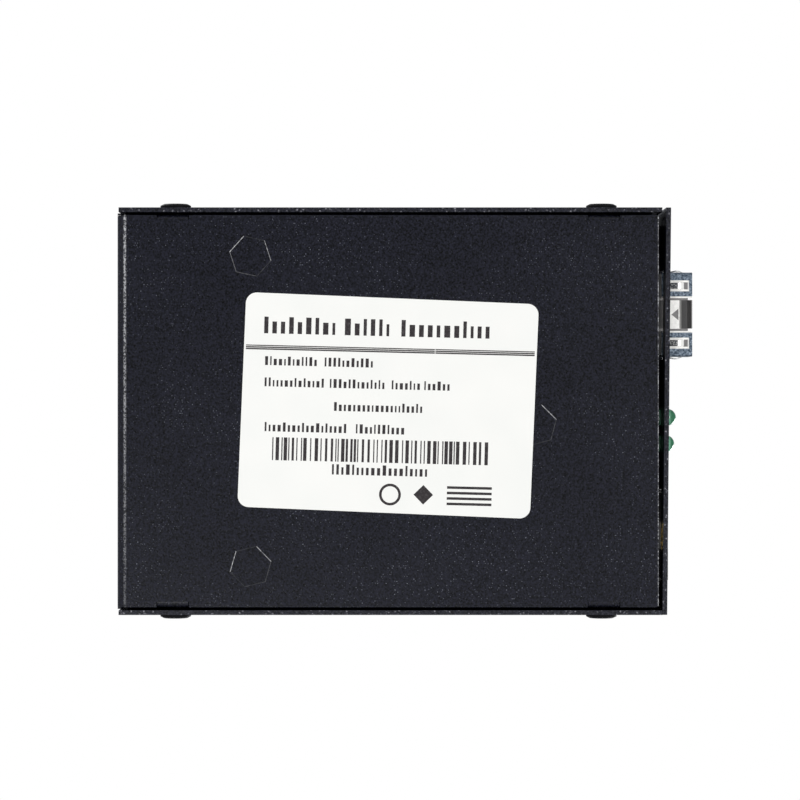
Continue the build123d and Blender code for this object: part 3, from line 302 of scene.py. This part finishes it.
def rolled_sheet(name, colour, roughness, line_width, stained=0.3, painted_shade=None):
    """Thin strip, cold rolled and plated: fine lines run along the strip and stretch its glints.

    stained is how much its darker spots lose. A painted shade, where given, is a function that makes
    a share from the place, and the colour of that shade.
    """
    material, tree, place = new_material(name)
    stretched = add(tree, "Mapping", {"Vector": place, "Scale": (1.0, 0.06, 1.0)})[0]
    lines = add(tree, "TexNoise", {
        "Vector": stretched, "Scale": per_metre(line_width), "Detail": 2.0,
    })["Fac"]
    spots = add(tree, "TexNoise", {"Vector": place, "Scale": per_metre(0.5), "Detail": 3.0})["Fac"]
    stain = add(tree, "MapRange", {"Value": spots, "From Min": 0.35, "From Max": 0.65})[0]
    clean = linear(colour)
    plating = add(
        tree, "Mix", {0: stain, 6: clean, 7: scaled(clean, 1.0 - stained)}, data_type="RGBA"
    )[2]
    # Painted shade, where the share says
    if painted_shade:
        shade_share, shade_colour = painted_shade
        shade_mask = shade_share(tree, place)
        plating = add(tree, "Mix", {0: shade_mask, 6: plating, 7: linear(shade_colour)}, data_type="RGBA")[2]
    gloss = add(tree, "MapRange", {
        "Value": lines, "From Min": 0.3, "From Max": 0.7,
        "To Min": roughness - 0.06, "To Max": roughness + 0.1,
    })[0]
    relief = add(tree, "Bump", {"Height": lines, "Strength": 0.12, "Distance": 0.01 * MM})[0]
    surface = add(tree, "BsdfPrincipled", {
        "Base Color": plating, "Metallic": 1.0, "Roughness": gloss, "Normal": relief,
    })[0]
    add(tree, "OutputMaterial", {"Surface": surface})
    return material


def cage_shade(tree, place):
    """Share of the cage in painted shade: its lip, its ceiling and what lies behind the panel."""
    where = add(tree, "SeparateXYZ", {"Vector": place})
    # Painted shade on the cage behind the panel, inside the case
    behind = add(tree, "MapRange", {
        "Value": where["Y"],
        "From Min": (PANEL_FACE - 0.1) * MM, "From Max": (PANEL_FACE + 0.5) * MM, "To Max": 0.9,
    })[0]
    lip = add(tree, "MapRange", {
        "Value": where["Z"],
        "From Min": (CAGE_FLOOR - 0.1) * MM, "From Max": (CAGE_FLOOR - 0.25) * MM,
    })[0]
    high = add(tree, "MapRange", {
        "Value": where["Z"],
        "From Min": (CAGE_FLOOR + 2.5) * MM, "From Max": (CAGE_FLOOR + 3.0) * MM,
    })[0]
    facing = add(tree, "SeparateXYZ", {"Vector": add(tree, "NewGeometry")["True Normal"]})["Z"]
    down = add(tree, "MapRange", {"Value": facing, "From Min": -0.4, "From Max": -0.8})[0]
    ceiling = add(tree, "Math", {0: high, 1: down}, operation="MULTIPLY")[0]
    inside = add(tree, "Math", {0: lip, 1: ceiling}, operation="MAXIMUM")[0]
    return add(tree, "Math", {0: inside, 1: behind}, operation="MAXIMUM")[0]


def finger_share(tree, place):
    """Share of the collar's fingers: what stands proud of the strip or slopes away from it."""
    centred = add(tree, "Mapping", {
        "Vector": place, "Location": (-CAGE_MIDDLE.x * MM, 0.0, -CAGE_MIDDLE.z * MM),
    })[0]
    spans = add(tree, "SeparateXYZ", {"Vector": centred})
    facing = add(tree, "SeparateXYZ", {"Vector": add(tree, "NewGeometry")["True Normal"]})["Y"]
    slope = add(tree, "Math", {0: facing}, operation="ABSOLUTE")[0]
    finger = add(tree, "MapRange", {"Value": slope, "From Min": 0.02, "From Max": 0.06})[0]
    for axis, half in COLLAR_HALF.items():
        reach = add(tree, "Math", {0: spans[axis]}, operation="ABSOLUTE")[0]
        proud = add(tree, "MapRange", {
            "Value": reach, "From Min": (half + 0.01) * MM, "From Max": (half + 0.05) * MM,
        })[0]
        finger = add(tree, "Math", {0: finger, 1: proud}, operation="MAXIMUM")[0]
    return finger


def sprung_collar_strip():
    """Spring steel of the collar: blue grey and mottled from tempering, its fingers rubbed bright.

    Along each finger the root is scuffed, the crest carries a painted highlight and the tip, turned
    in, a painted shade.
    """
    material, tree, place = new_material("sprung_collar_strip")
    mottle = add(tree, "TexNoise", {
        "Vector": place, "Scale": per_metre(0.4), "Detail": 4.0, "Roughness": 0.7,
    })["Fac"]
    tone = add(tree, "MapRange", {"Value": mottle, "From Min": 0.38, "From Max": 0.64})[0]
    tempered = add(
        tree, "Mix", {0: tone, 6: linear("#303c49"), 7: linear("#8b97a4")}, data_type="RGBA"
    )[2]
    away = add(tree, "TexVoronoi", {"Vector": place, "Scale": per_metre(0.34)})["Distance"]
    scuff = add(tree, "MapRange", {"Value": away, "From Min": 0.2, "From Max": 0.5})[0]
    finger = add(
        tree, "Mix", {0: scuff, 6: linear("#dededc"), 7: linear("#66686c")}, data_type="RGBA"
    )[2]
    along = add(tree, "SeparateXYZ", {"Vector": place})["Y"]
    # Painted highlight across the crest of each finger
    crest = add(tree, "MapRange", {
        "Value": along, "From Min": (CAGE_MOUTH + 2.75) * MM, "From Max": (CAGE_MOUTH + 2.45) * MM,
    })[0]
    finger = add(tree, "Mix", {0: crest, 6: finger, 7: linear("#e9e9e7")}, data_type="RGBA")[2]
    # Painted shade on the turned-in tip
    turned = add(tree, "MapRange", {
        "Value": along, "From Min": (CAGE_MOUTH + 1.55) * MM, "From Max": (CAGE_MOUTH + 1.4) * MM,
    })[0]
    ended = add(tree, "MapRange", {
        "Value": along, "From Min": (CAGE_MOUTH + 0.85) * MM, "From Max": (CAGE_MOUTH + 1.0) * MM,
    })[0]
    tip = add(tree, "Math", {0: turned, 1: ended}, operation="MULTIPLY")[0]
    finger = add(tree, "Mix", {0: tip, 6: finger, 7: linear("#4c4f55")}, data_type="RGBA")[2]
    share = finger_share(tree, place)
    colour = add(tree, "Mix", {0: share, 6: tempered, 7: finger}, data_type="RGBA")[2]
    gloss = add(tree, "MapRange", {
        "Value": mottle, "From Min": 0.3, "From Max": 0.7, "To Min": 0.26, "To Max": 0.42,
    })[0]
    relief = add(tree, "Bump", {"Height": mottle, "Strength": 0.2, "Distance": 0.02 * MM})[0]
    surface = add(tree, "BsdfPrincipled", {
        "Base Color": colour, "Metallic": 1.0, "Roughness": gloss, "Normal": relief,
    })[0]
    add(tree, "OutputMaterial", {"Surface": surface})
    return material


def plated_wire(name, colour, roughness):
    """Drawn wire or stamped lead with its plating: smooth metal, a little uneven in gloss."""
    material, tree, place = new_material(name)
    patch = add(tree, "TexNoise", {"Vector": place, "Scale": per_metre(0.8), "Detail": 2.0})["Fac"]
    gloss = add(tree, "MapRange", {
        "Value": patch, "From Min": 0.3, "From Max": 0.7,
        "To Min": roughness - 0.05, "To Max": roughness + 0.12,
    })[0]
    relief = add(tree, "Bump", {"Height": patch, "Strength": 0.1, "Distance": 0.02 * MM})[0]
    surface = add(tree, "BsdfPrincipled", {
        "Base Color": linear(colour), "Metallic": 1.0, "Roughness": gloss, "Normal": relief,
    })[0]
    add(tree, "OutputMaterial", {"Surface": surface})
    return material


def moulded_resin(name, colour, roughness, grit):
    """Moulded plastic or chip resin: even colour, a faint spark-eroded grain from the tool."""
    material, tree, place = new_material(name)
    grain = add(tree, "TexNoise", {"Vector": place, "Scale": per_metre(grit), "Detail": 2.0})["Fac"]
    high = add(tree, "MapRange", {"Value": grain, "From Min": 0.4, "From Max": 0.75})[0]
    resin = linear(colour)
    grained = add(
        tree, "Mix", {0: high, 6: resin, 7: scaled(resin, 1.5, 0.002)}, data_type="RGBA"
    )[2]
    gloss = add(tree, "MapRange", {
        "Value": grain, "From Min": 0.3, "From Max": 0.7,
        "To Min": roughness - 0.06, "To Max": roughness + 0.08,
    })[0]
    relief = add(tree, "Bump", {"Height": grain, "Strength": 0.2, "Distance": 0.02 * MM})[0]
    surface = add(tree, "BsdfPrincipled", {
        "Base Color": grained, "Roughness": gloss, "IOR": 1.5, "Normal": relief,
    })[0]
    add(tree, "OutputMaterial", {"Surface": surface})
    return material


def tinted_epoxy():
    """Green tinted epoxy of a lamp, with painted light: paler near the panel, deep at the tip."""
    material, tree, place = new_material("tinted_epoxy")
    along = add(tree, "SeparateXYZ", {"Vector": place})["Y"]
    # Painted light: the lens is pale near the panel and deep green further out
    deep = add(tree, "MapRange", {
        "Value": along, "From Min": (PANEL_FACE - 0.7) * MM, "From Max": (PANEL_FACE - 1.1) * MM,
    })[0]
    colour = add(
        tree, "Mix", {0: deep, 6: linear("#8ad8b2"), 7: linear("#0a8052")}, data_type="RGBA"
    )[2]
    swirl = add(tree, "TexNoise", {"Vector": place, "Scale": per_metre(1.2), "Detail": 1.0})["Fac"]
    gloss = add(tree, "MapRange", {
        "Value": swirl, "From Min": 0.3, "From Max": 0.7, "To Min": 0.1, "To Max": 0.2,
    })[0]
    surface = add(tree, "BsdfPrincipled", {
        "Base Color": colour, "Roughness": gloss, "IOR": 1.54, "Transmission Weight": 0.05,
    })[0]
    add(tree, "OutputMaterial", {"Surface": surface})
    return material


# Finishes of the label and the board

def polyester_label_film():
    """White polyester label stock: an even cool white with a satin face and a faint waviness."""
    material, tree, place = new_material("polyester_label_film")
    wave = add(tree, "TexNoise", {"Vector": place, "Scale": per_metre(9.0), "Detail": 1.0})["Fac"]
    tone = add(tree, "MapRange", {"Value": wave, "From Min": 0.3, "From Max": 0.7})[0]
    colour = add(
        tree, "Mix", {0: tone, 6: linear("#fefefb"), 7: linear("#fafbf8")}, data_type="RGBA"
    )[2]
    relief = add(tree, "Bump", {"Height": wave, "Strength": 0.1, "Distance": 0.05 * MM})[0]
    surface = add(tree, "BsdfPrincipled", {
        "Base Color": colour, "Roughness": 0.42, "Specular IOR Level": 0.3, "Normal": relief,
    })[0]
    add(tree, "OutputMaterial", {"Surface": surface})
    return material


def ribbon_ink():
    """Resin ribbon ink: a warm black, matt, a little thin where the ribbon dragged."""
    material, tree, place = new_material("ribbon_ink")
    drag = add(tree, "TexNoise", {"Vector": place, "Scale": per_metre(0.5), "Detail": 2.0})["Fac"]
    thin = add(tree, "MapRange", {"Value": drag, "From Min": 0.45, "From Max": 0.8})[0]
    colour = add(
        tree, "Mix", {0: thin, 6: linear("#2b2729"), 7: linear("#4d494b")}, data_type="RGBA"
    )[2]
    surface = add(tree, "BsdfPrincipled", {
        "Base Color": colour, "Roughness": 0.6, "Specular IOR Level": 0.25,
    })[0]
    add(tree, "OutputMaterial", {"Surface": surface})
    return material


def solder_masked_board():
    """Glass epoxy board under green solder mask: copper tracks lift it in lighter lines."""
    material, tree, place = new_material("solder_masked_board")
    tracks = add(tree, "TexBrick", {
        "Vector": place, "Scale": per_metre(3.2), "Mortar Size": 0.06, "Mortar Smooth": 0.1,
        "Brick Width": 0.7, "Row Height": 0.3,
    })["Fac"]
    mask = add(
        tree, "Mix", {0: tracks, 6: linear("#0d4a26"), 7: linear("#1c6e3a")}, data_type="RGBA"
    )[2]
    weave = add(tree, "TexNoise", {"Vector": place, "Scale": per_metre(0.9), "Detail": 2.0})["Fac"]
    knot = add(tree, "MapRange", {
        "Value": weave, "From Min": 0.4, "From Max": 0.8, "To Max": 0.4,
    })[0]
    colour = add(tree, "Mix", {0: knot, 6: mask, 7: linear("#0a3a1e")}, data_type="RGBA")[2]
    relief = add(tree, "Bump", {"Height": tracks, "Strength": 0.3, "Distance": 0.03 * MM})[0]
    surface = add(tree, "BsdfPrincipled", {
        "Base Color": colour, "Roughness": 0.28, "IOR": 1.5, "Normal": relief,
    })[0]
    add(tree, "OutputMaterial", {"Surface": surface})
    return material


# One finish for each material slot; the tray's coat has painted highlights on its edges, where the
# cover's coat is pale at its cut edges
finishes = {
    "powder_coat": powder_coated_steel("powder_coated_cover", cover_edges, "#8a8a92"),
    "black_screw": blackened_steel(),
    "label_film": polyester_label_film(),
    "board_green": solder_masked_board(),
    "standoff_steel": clinched_steel(),
    "plated_steel": plated_wire("nickel_plated_steel", "#c8c6bf", 0.28),
    # The cage's second colour is a painted shade
    "cage_steel": rolled_sheet(
        "nickel_plated_cage_strip", "#f3f2ef", 0.58, 0.12, 0.1, (cage_shade, "#8b8a8a")
    ),
    "collar_steel": sprung_collar_strip(),
    "shield_steel": rolled_sheet("tin_plated_shield_strip", "#b5b4af", 0.34, 0.12),
    "connector_black": moulded_resin("glass_filled_nylon", "#141416", 0.5, 0.22),
    "contact_gold": plated_wire("gold_plated_bronze", "#e3bd68", 0.22),
    "lamp_green": tinted_epoxy(),
    "tinned_lead": plated_wire("tinned_copper_lead", "#cfcfca", 0.34),
    "chip_black": moulded_resin("chip_epoxy", "#17181a", 0.58, 0.15),
    "ferrite_grey": moulded_resin("sintered_ferrite", "#2f3033", 0.66, 0.3),
    "sleeve_black": moulded_resin("shrunk_sleeve", "#101118", 0.3, 2.0),
    "fuse_green": moulded_resin("fuse_resin", "#2f6b45", 0.45, 0.4),
    "ceramic_tan": moulded_resin("fired_ceramic", "#a98a63", 0.5, 0.2),
}
# On the tray the pale colour is a painted highlight
tray_coat = powder_coated_steel("powder_coated_tray", painted_tray_highlights, "#d2d3d7")

slot_of = {row["node"]: row["material_slot"] for row in frame["record"]["subparts"]}
for node, piece in frame["nodes"].items():
    piece.data.materials.clear()
    piece.data.materials.append(tray_coat if node == "base_tray" else finishes[slot_of[node]])


# New pieces

def new_object(name, mesh, material):
    """Turns a finished bmesh into an object with one material."""
    data = bpy.data.meshes.new(name)
    mesh.to_mesh(data)
    mesh.free()
    data.materials.append(material)
    made = bpy.data.objects.new(name, data)
    bpy.context.scene.collection.objects.link(made)
    return made


def new_piece(name, mesh, material):
    """Turns a finished bmesh into a piece that rides with the box."""
    bmesh.ops.recalc_face_normals(mesh, faces=mesh.faces)
    piece = new_object(name, mesh, material)
    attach(piece, "root")


def in_millimetres(x, y, z):
    """A place or a way in metres, from millimetres."""
    return Vector((x, y, z)) * MM


# Print on the label, in millimetres from its centre; it stands a little straighter than the label
PRINT_TURN = math.radians(1.4)
INK = 0.012
# Left end, middle line, height of the blocks and lengths of the words of each row
WORD_ROWS = (
    (-21.6, -7.3, 1.55, (9.6, 8.8)),
    (-21.6, -3.6, 1.55, (10.6, 10.0, 4.9, 4.4)),
    (-9.4, 0.4, 1.55, (15.4,)),
    (-21.4, 4.2, 1.6, (14.2,)),
    (-5.5, 4.2, 1.6, (9.0,)),
)
HEADING_ROW = (-21.9, -13.5, 2.9, (12.6, 8.4, 16.6))
CAPTION_ROW = (-9.5, 11.35, 1.8, (16.7,))
# Top edges and thicknesses of the three rules, and left ends and lengths of their two stretches
RULES = ((-10.02, 0.18), (-9.74, 0.22), (-9.44, 0.24))
RULE_STRETCHES = ((-25.0, 32.9), (8.0, 17.3))
# Ends, top and height of the row of upright bars, and the step of their widths
CODE_ENDS = (-20.0, 17.6)
CODE_TOP = 6.0
CODE_HEIGHT = 4.0
CODE_STEP = 0.2
# Place across, place down, outer and inner radius and number of sides
RING = (0.7, 15.5, 1.9, 1.45, 40)
DIAMOND = (6.5, 15.4, 1.7, 0.0, 4)
# Left end, top, width and height of the first bar of the stack, and the step to the next
STACK_BAR = (10.6, 13.8, 7.8, 0.45)
STACK_STEP = 0.95
STACK_BARS = 4
# Widths, gaps and height of the low blocks, as shares of the row's height, and how many stand tall
BLOCK_WIDTH = 0.16
BLOCK_SPREAD = 0.2
BLOCK_GAP = 0.24
WORD_GAP = 0.5
LOW_BLOCK = 0.72
TALL_SHARE = 0.3

print_frame = Matrix((
    (math.sin(PRINT_TURN), math.cos(PRINT_TURN), 0.0, LABEL_CENTRE.x * MM),
    (-math.cos(PRINT_TURN), math.sin(PRINT_TURN), 0.0, LABEL_CENTRE.y * MM),
    (0.0, 0.0, 1.0, 0.0),
    (0.0, 0.0, 0.0, 1.0),
))


def ink_bar(mesh, left, top, width, height):
    """One printed bar, from its corner."""
    middle = Matrix.Translation(in_millimetres(left + width / 2, top + height / 2, -INK / 2))
    size = Matrix.Diagonal((width * MM, height * MM, INK * MM, 1.0))
    bmesh.ops.create_cube(mesh, size=1.0, matrix=print_frame @ middle @ size)


def ink_ring(mesh, across, down, outer, inner, sides):
    """One printed ring, or a disc where the inner radius is nothing."""
    place = print_frame @ Matrix.Translation(in_millimetres(across, down, -INK))
    made = bmesh.ops.create_circle(
        mesh, cap_ends=True, segments=sides, radius=outer * MM, matrix=place
    )
    disc = made["verts"][0].link_faces[0]
    if inner:
        bmesh.ops.inset_individual(mesh, faces=[disc], thickness=(outer - inner) * MM)
        bmesh.ops.delete(mesh, geom=[disc], context="FACES_ONLY")


def word_row(mesh, left, middle, height, words):
    """A row of plain blocks in the rhythm of print: it stands for words and spells nothing."""
    place = left
    for length in words:
        end = place + length
        first = True
        while place < end - BLOCK_SPREAD * height:
            width = min(height * (BLOCK_WIDTH + BLOCK_SPREAD * pen.random()), end - place)
            tall = height if first or pen.random() < TALL_SHARE else LOW_BLOCK * height
            ink_bar(mesh, place, middle + height / 2 - tall, width, tall)
            place += width + height * BLOCK_GAP
            first = False
        place = end + height * WORD_GAP


pen = random.Random(11)
print_mesh = bmesh.new()
word_row(print_mesh, *HEADING_ROW)
for top, thick in RULES:
    for left, length in RULE_STRETCHES:
        ink_bar(print_mesh, left, top, length, thick)
for row in WORD_ROWS:
    word_row(print_mesh, *row)
place, code_end = CODE_ENDS
while place < code_end:
    width = CODE_STEP * pen.choice((1, 1, 2, 3))
    ink_bar(print_mesh, place, CODE_TOP, width, CODE_HEIGHT)
    place += width + CODE_STEP * pen.choice((1, 2, 2, 3))
word_row(print_mesh, *CAPTION_ROW)
ink_ring(print_mesh, *RING)
ink_ring(print_mesh, *DIAMOND)
left, top, width, height = STACK_BAR
for step in range(STACK_BARS):
    ink_bar(print_mesh, left, top + step * STACK_STEP, width, height)
new_piece("label_print", print_mesh, ribbon_ink())

# The coat bridges the edge of each clinched hexagon in a fine bead
BEAD_OVERLAP = 0.1
BEAD_WIDTH = 0.14
BEAD_HEIGHT = 0.05
BEAD_LEVEL = 0.088
# How strong the painted highlight is on each of its six sides
BEAD_HIGHLIGHTS = (
    (0.26, 0.9, 0.04, 0.5, 0.08, 0.14),
    (0.05, 0.95, 0.04, 0.6, 0.1, 0.07),
    (0.1, 0.1, 0.02, 0.7, 0.1, 0.05),
)
corner = HEXAGON_WIDTH / 2 / math.cos(math.radians(30)) + BEAD_OVERLAP
bead_mesh = bmesh.new()
for x, y, turned in HEXAGONS:
    flat_on = Matrix.Rotation(math.radians(turned + 30), 4, "Z")
    made = bmesh.ops.create_circle(
        bead_mesh, cap_ends=True, segments=6, radius=corner * MM,
        matrix=Matrix.Translation(in_millimetres(x, y, BEAD_LEVEL)) @ flat_on,
    )
    hexagon = made["verts"][0].link_faces[0]
    bmesh.ops.inset_individual(bead_mesh, faces=[hexagon], thickness=BEAD_WIDTH * MM)
    bmesh.ops.delete(bead_mesh, geom=[hexagon], context="FACES_ONLY")
grown = bmesh.ops.extrude_face_region(bead_mesh, geom=list(bead_mesh.faces))
raised = [part for part in grown["geom"] if isinstance(part, bmesh.types.BMVert)]
bmesh.ops.translate(bead_mesh, verts=raised, vec=in_millimetres(0.0, 0.0, BEAD_HEIGHT))
bead_highlight = bead_mesh.faces.layers.float.new("bead_highlight")
for face in bead_mesh.faces:
    spot = face.calc_center_median() / MM
    near = min(range(len(HEXAGONS)), key=lambda which: math.dist(HEXAGONS[which][:2], spot[:2]))
    x, y, turned = HEXAGONS[near]
    angle = math.degrees(math.atan2(spot.y - y, spot.x - x)) - turned
    face[bead_highlight] = BEAD_HIGHLIGHTS[near][int(angle % 360 // 60)]
new_piece("hexagon_coat_beads", bead_mesh, bridged_coat())

# Inside each lamp: the reflector cup on its post and the shorter post beside it
# Place across, length and radius of each post
POSTS = ((-0.62, 2.6, 0.22), (0.62, 3.0, 0.24))
CUP_PLACE = (0.2, 0.0, 3.2)
CUP_HEIGHT = 0.6
CUP_FOOT = 0.38
CUP_RIM = 0.62
core_mesh = bmesh.new()
for x in LAMP_COLUMNS:
    for level in LAMP_LEVELS:
        lamp_axis = Matrix.Translation(in_millimetres(x, LAMP_SEAT, level)) @ Matrix.Rotation(
            math.radians(90), 4, "X"
        )
        for across, length, radius in POSTS:
            bmesh.ops.create_cone(
                core_mesh, cap_ends=True, segments=10, radius1=radius * MM, radius2=radius * MM,
                depth=length * MM,
                matrix=lamp_axis @ Matrix.Translation(in_millimetres(across, 0.0, length / 2)),
            )
        bmesh.ops.create_cone(
            core_mesh, cap_ends=True, segments=20, radius1=CUP_FOOT * MM, radius2=CUP_RIM * MM,
            depth=CUP_HEIGHT * MM,
            matrix=lamp_axis @ Matrix.Translation(in_millimetres(*CUP_PLACE)),
        )
new_piece("lamp_cores", core_mesh, finishes["tinned_lead"])


# Floor, seen from above only, so that the underside can be photographed through it

FLOOR_DROP = 0.05
FLOOR_SIZE = 3.0


def studio_floor():
    """Pale matt floor that melts into the white studio; a look from below passes through it."""
    material, tree, place = new_material("studio_floor")
    away = add(tree, "VectorMath", {0: place}, operation="LENGTH")["Value"]
    far = add(tree, "MapRange", {"Value": away, "From Min": 0.18, "From Max": 0.45})[0]
    below = add(tree, "NewGeometry")["Backfacing"]
    unseen = add(tree, "Math", {0: far, 1: below}, operation="MAXIMUM")[0]
    matt = add(tree, "BsdfDiffuse", {"Color": linear("#f6f6f4")})[0]
    clear = add(tree, "BsdfTransparent")[0]
    surface = add(tree, "MixShader", {0: unseen, 1: matt, 2: clear})[0]
    add(tree, "OutputMaterial", {"Surface": surface})
    return material


floor_mesh = bmesh.new()
bmesh.ops.create_grid(
    floor_mesh, x_segments=1, y_segments=1, size=FLOOR_SIZE,
    matrix=Matrix.Translation(in_millimetres(0.0, 0.0, -FLOOR_DROP)),
)
floor = new_object("floor", floor_mesh, studio_floor())
for kind in ("visible_diffuse", "visible_glossy", "visible_transmission", "visible_shadow"):
    setattr(floor, kind, False)


# Light and camera

def soft_lamp(name, place, size, power):
    """A square soft box that faces the middle of the studio; metres and watts."""
    light = bpy.data.lights.new(name, "AREA")
    light.shape = "SQUARE"
    light.size = size
    light.energy = power
    lamp = bpy.data.objects.new(name, light)
    lamp.location = Vector(place)
    lamp.rotation_mode = "QUATERNION"
    lamp.rotation_quaternion = Vector(place).to_track_quat("Z", "Y")
    bpy.context.scene.collection.objects.link(lamp)
    return lamp


low_back = soft_lamp("low_back", (-0.22, 0.5, -0.75), 0.2, 2.6)
# The rear panel would mirror this one through the floor
low_back.visible_glossy = False
soft_lamp("low_side", (0.3, 0.16, -0.85), 0.2, 1.3)
soft_lamp("low_front", (-0.05, -0.42, -0.78), 0.3, 1.9)
soft_lamp("high_front", (0.35, -0.6, 0.75), 0.5, 7.0)
soft_lamp("high_back", (-0.5, 0.5, 0.7), 0.5, 4.0)

PLAIN_LIGHT = 0.38
DIM_SIDE = (-0.12, -0.04, -0.992)

world = bpy.data.worlds.new("studio")
world.use_nodes = True
bpy.context.scene.world = world
sky = world.node_tree
sky.nodes.clear()
ray = add(sky, "LightPath")
direction = add(sky, "TexCoord")["Generated"]
height = add(sky, "SeparateXYZ", {"Vector": direction})["Z"]
upper = add(sky, "MapRange", {"Value": height, "From Min": -0.25, "From Max": 0.2})[0]
walls = add(
    sky, "Mix", {0: upper, 6: linear("#ffffff"), 7: linear("#b4b7bc")}, data_type="RGBA"
)[2]
# The side of the studio below the box is dim, so flat metal that faces it goes blue grey
nearness = add(sky, "VectorMath", {0: direction, 1: DIM_SIDE}, operation="DOT_PRODUCT")["Value"]
dim = add(sky, "MapRange", {"Value": nearness, "From Min": 0.93, "From Max": 0.988})[0]
studio = add(sky, "Mix", {0: dim, 6: walls, 7: linear("#48525d")}, data_type="RGBA")[2]
seen = add(
    sky, "Mix", {0: ray["Is Glossy Ray"], 6: linear("#ffffff"), 7: studio}, data_type="RGBA"
)[2]
shown = add(
    sky, "Math", {0: ray["Is Camera Ray"], 1: ray["Is Glossy Ray"]}, operation="MAXIMUM"
)[0]
shown = add(sky, "Math", {0: shown, 1: ray["Is Transmission Ray"]}, operation="MAXIMUM")[0]
plain = add(sky, "Background", {"Color": linear("#ffffff"), "Strength": PLAIN_LIGHT})[0]
backdrop = add(sky, "Background", {"Color": seen, "Strength": 1.0})[0]
surround = add(sky, "MixShader", {0: shown, 1: plain, 2: backdrop})[0]
add(sky, "OutputWorld", {"Surface": surround})

# The photograph was taken squarely from below, about 0.6 m away, with the panel to the right
CAMERA_PLACE = (-1.95, -1.22, -600.0)
camera_data = bpy.data.cameras.new("camera")
camera_data.sensor_width = 36.0
camera_data.lens = 155.06
camera_data.clip_start = 0.01
camera = bpy.data.objects.new("camera", camera_data)
camera.matrix_world = Matrix.Translation(in_millimetres(*CAMERA_PLACE)) @ Matrix((
    (0.0, -1.0, 0.0, 0.0),
    (-1.0, 0.0, 0.0, 0.0),
    (0.0, 0.0, -1.0, 0.0),
    (0.0, 0.0, 0.0, 1.0),
))
bpy.context.scene.collection.objects.link(camera)
bpy.context.scene.camera = camera
bpy.context.scene.view_settings.view_transform = "Standard"
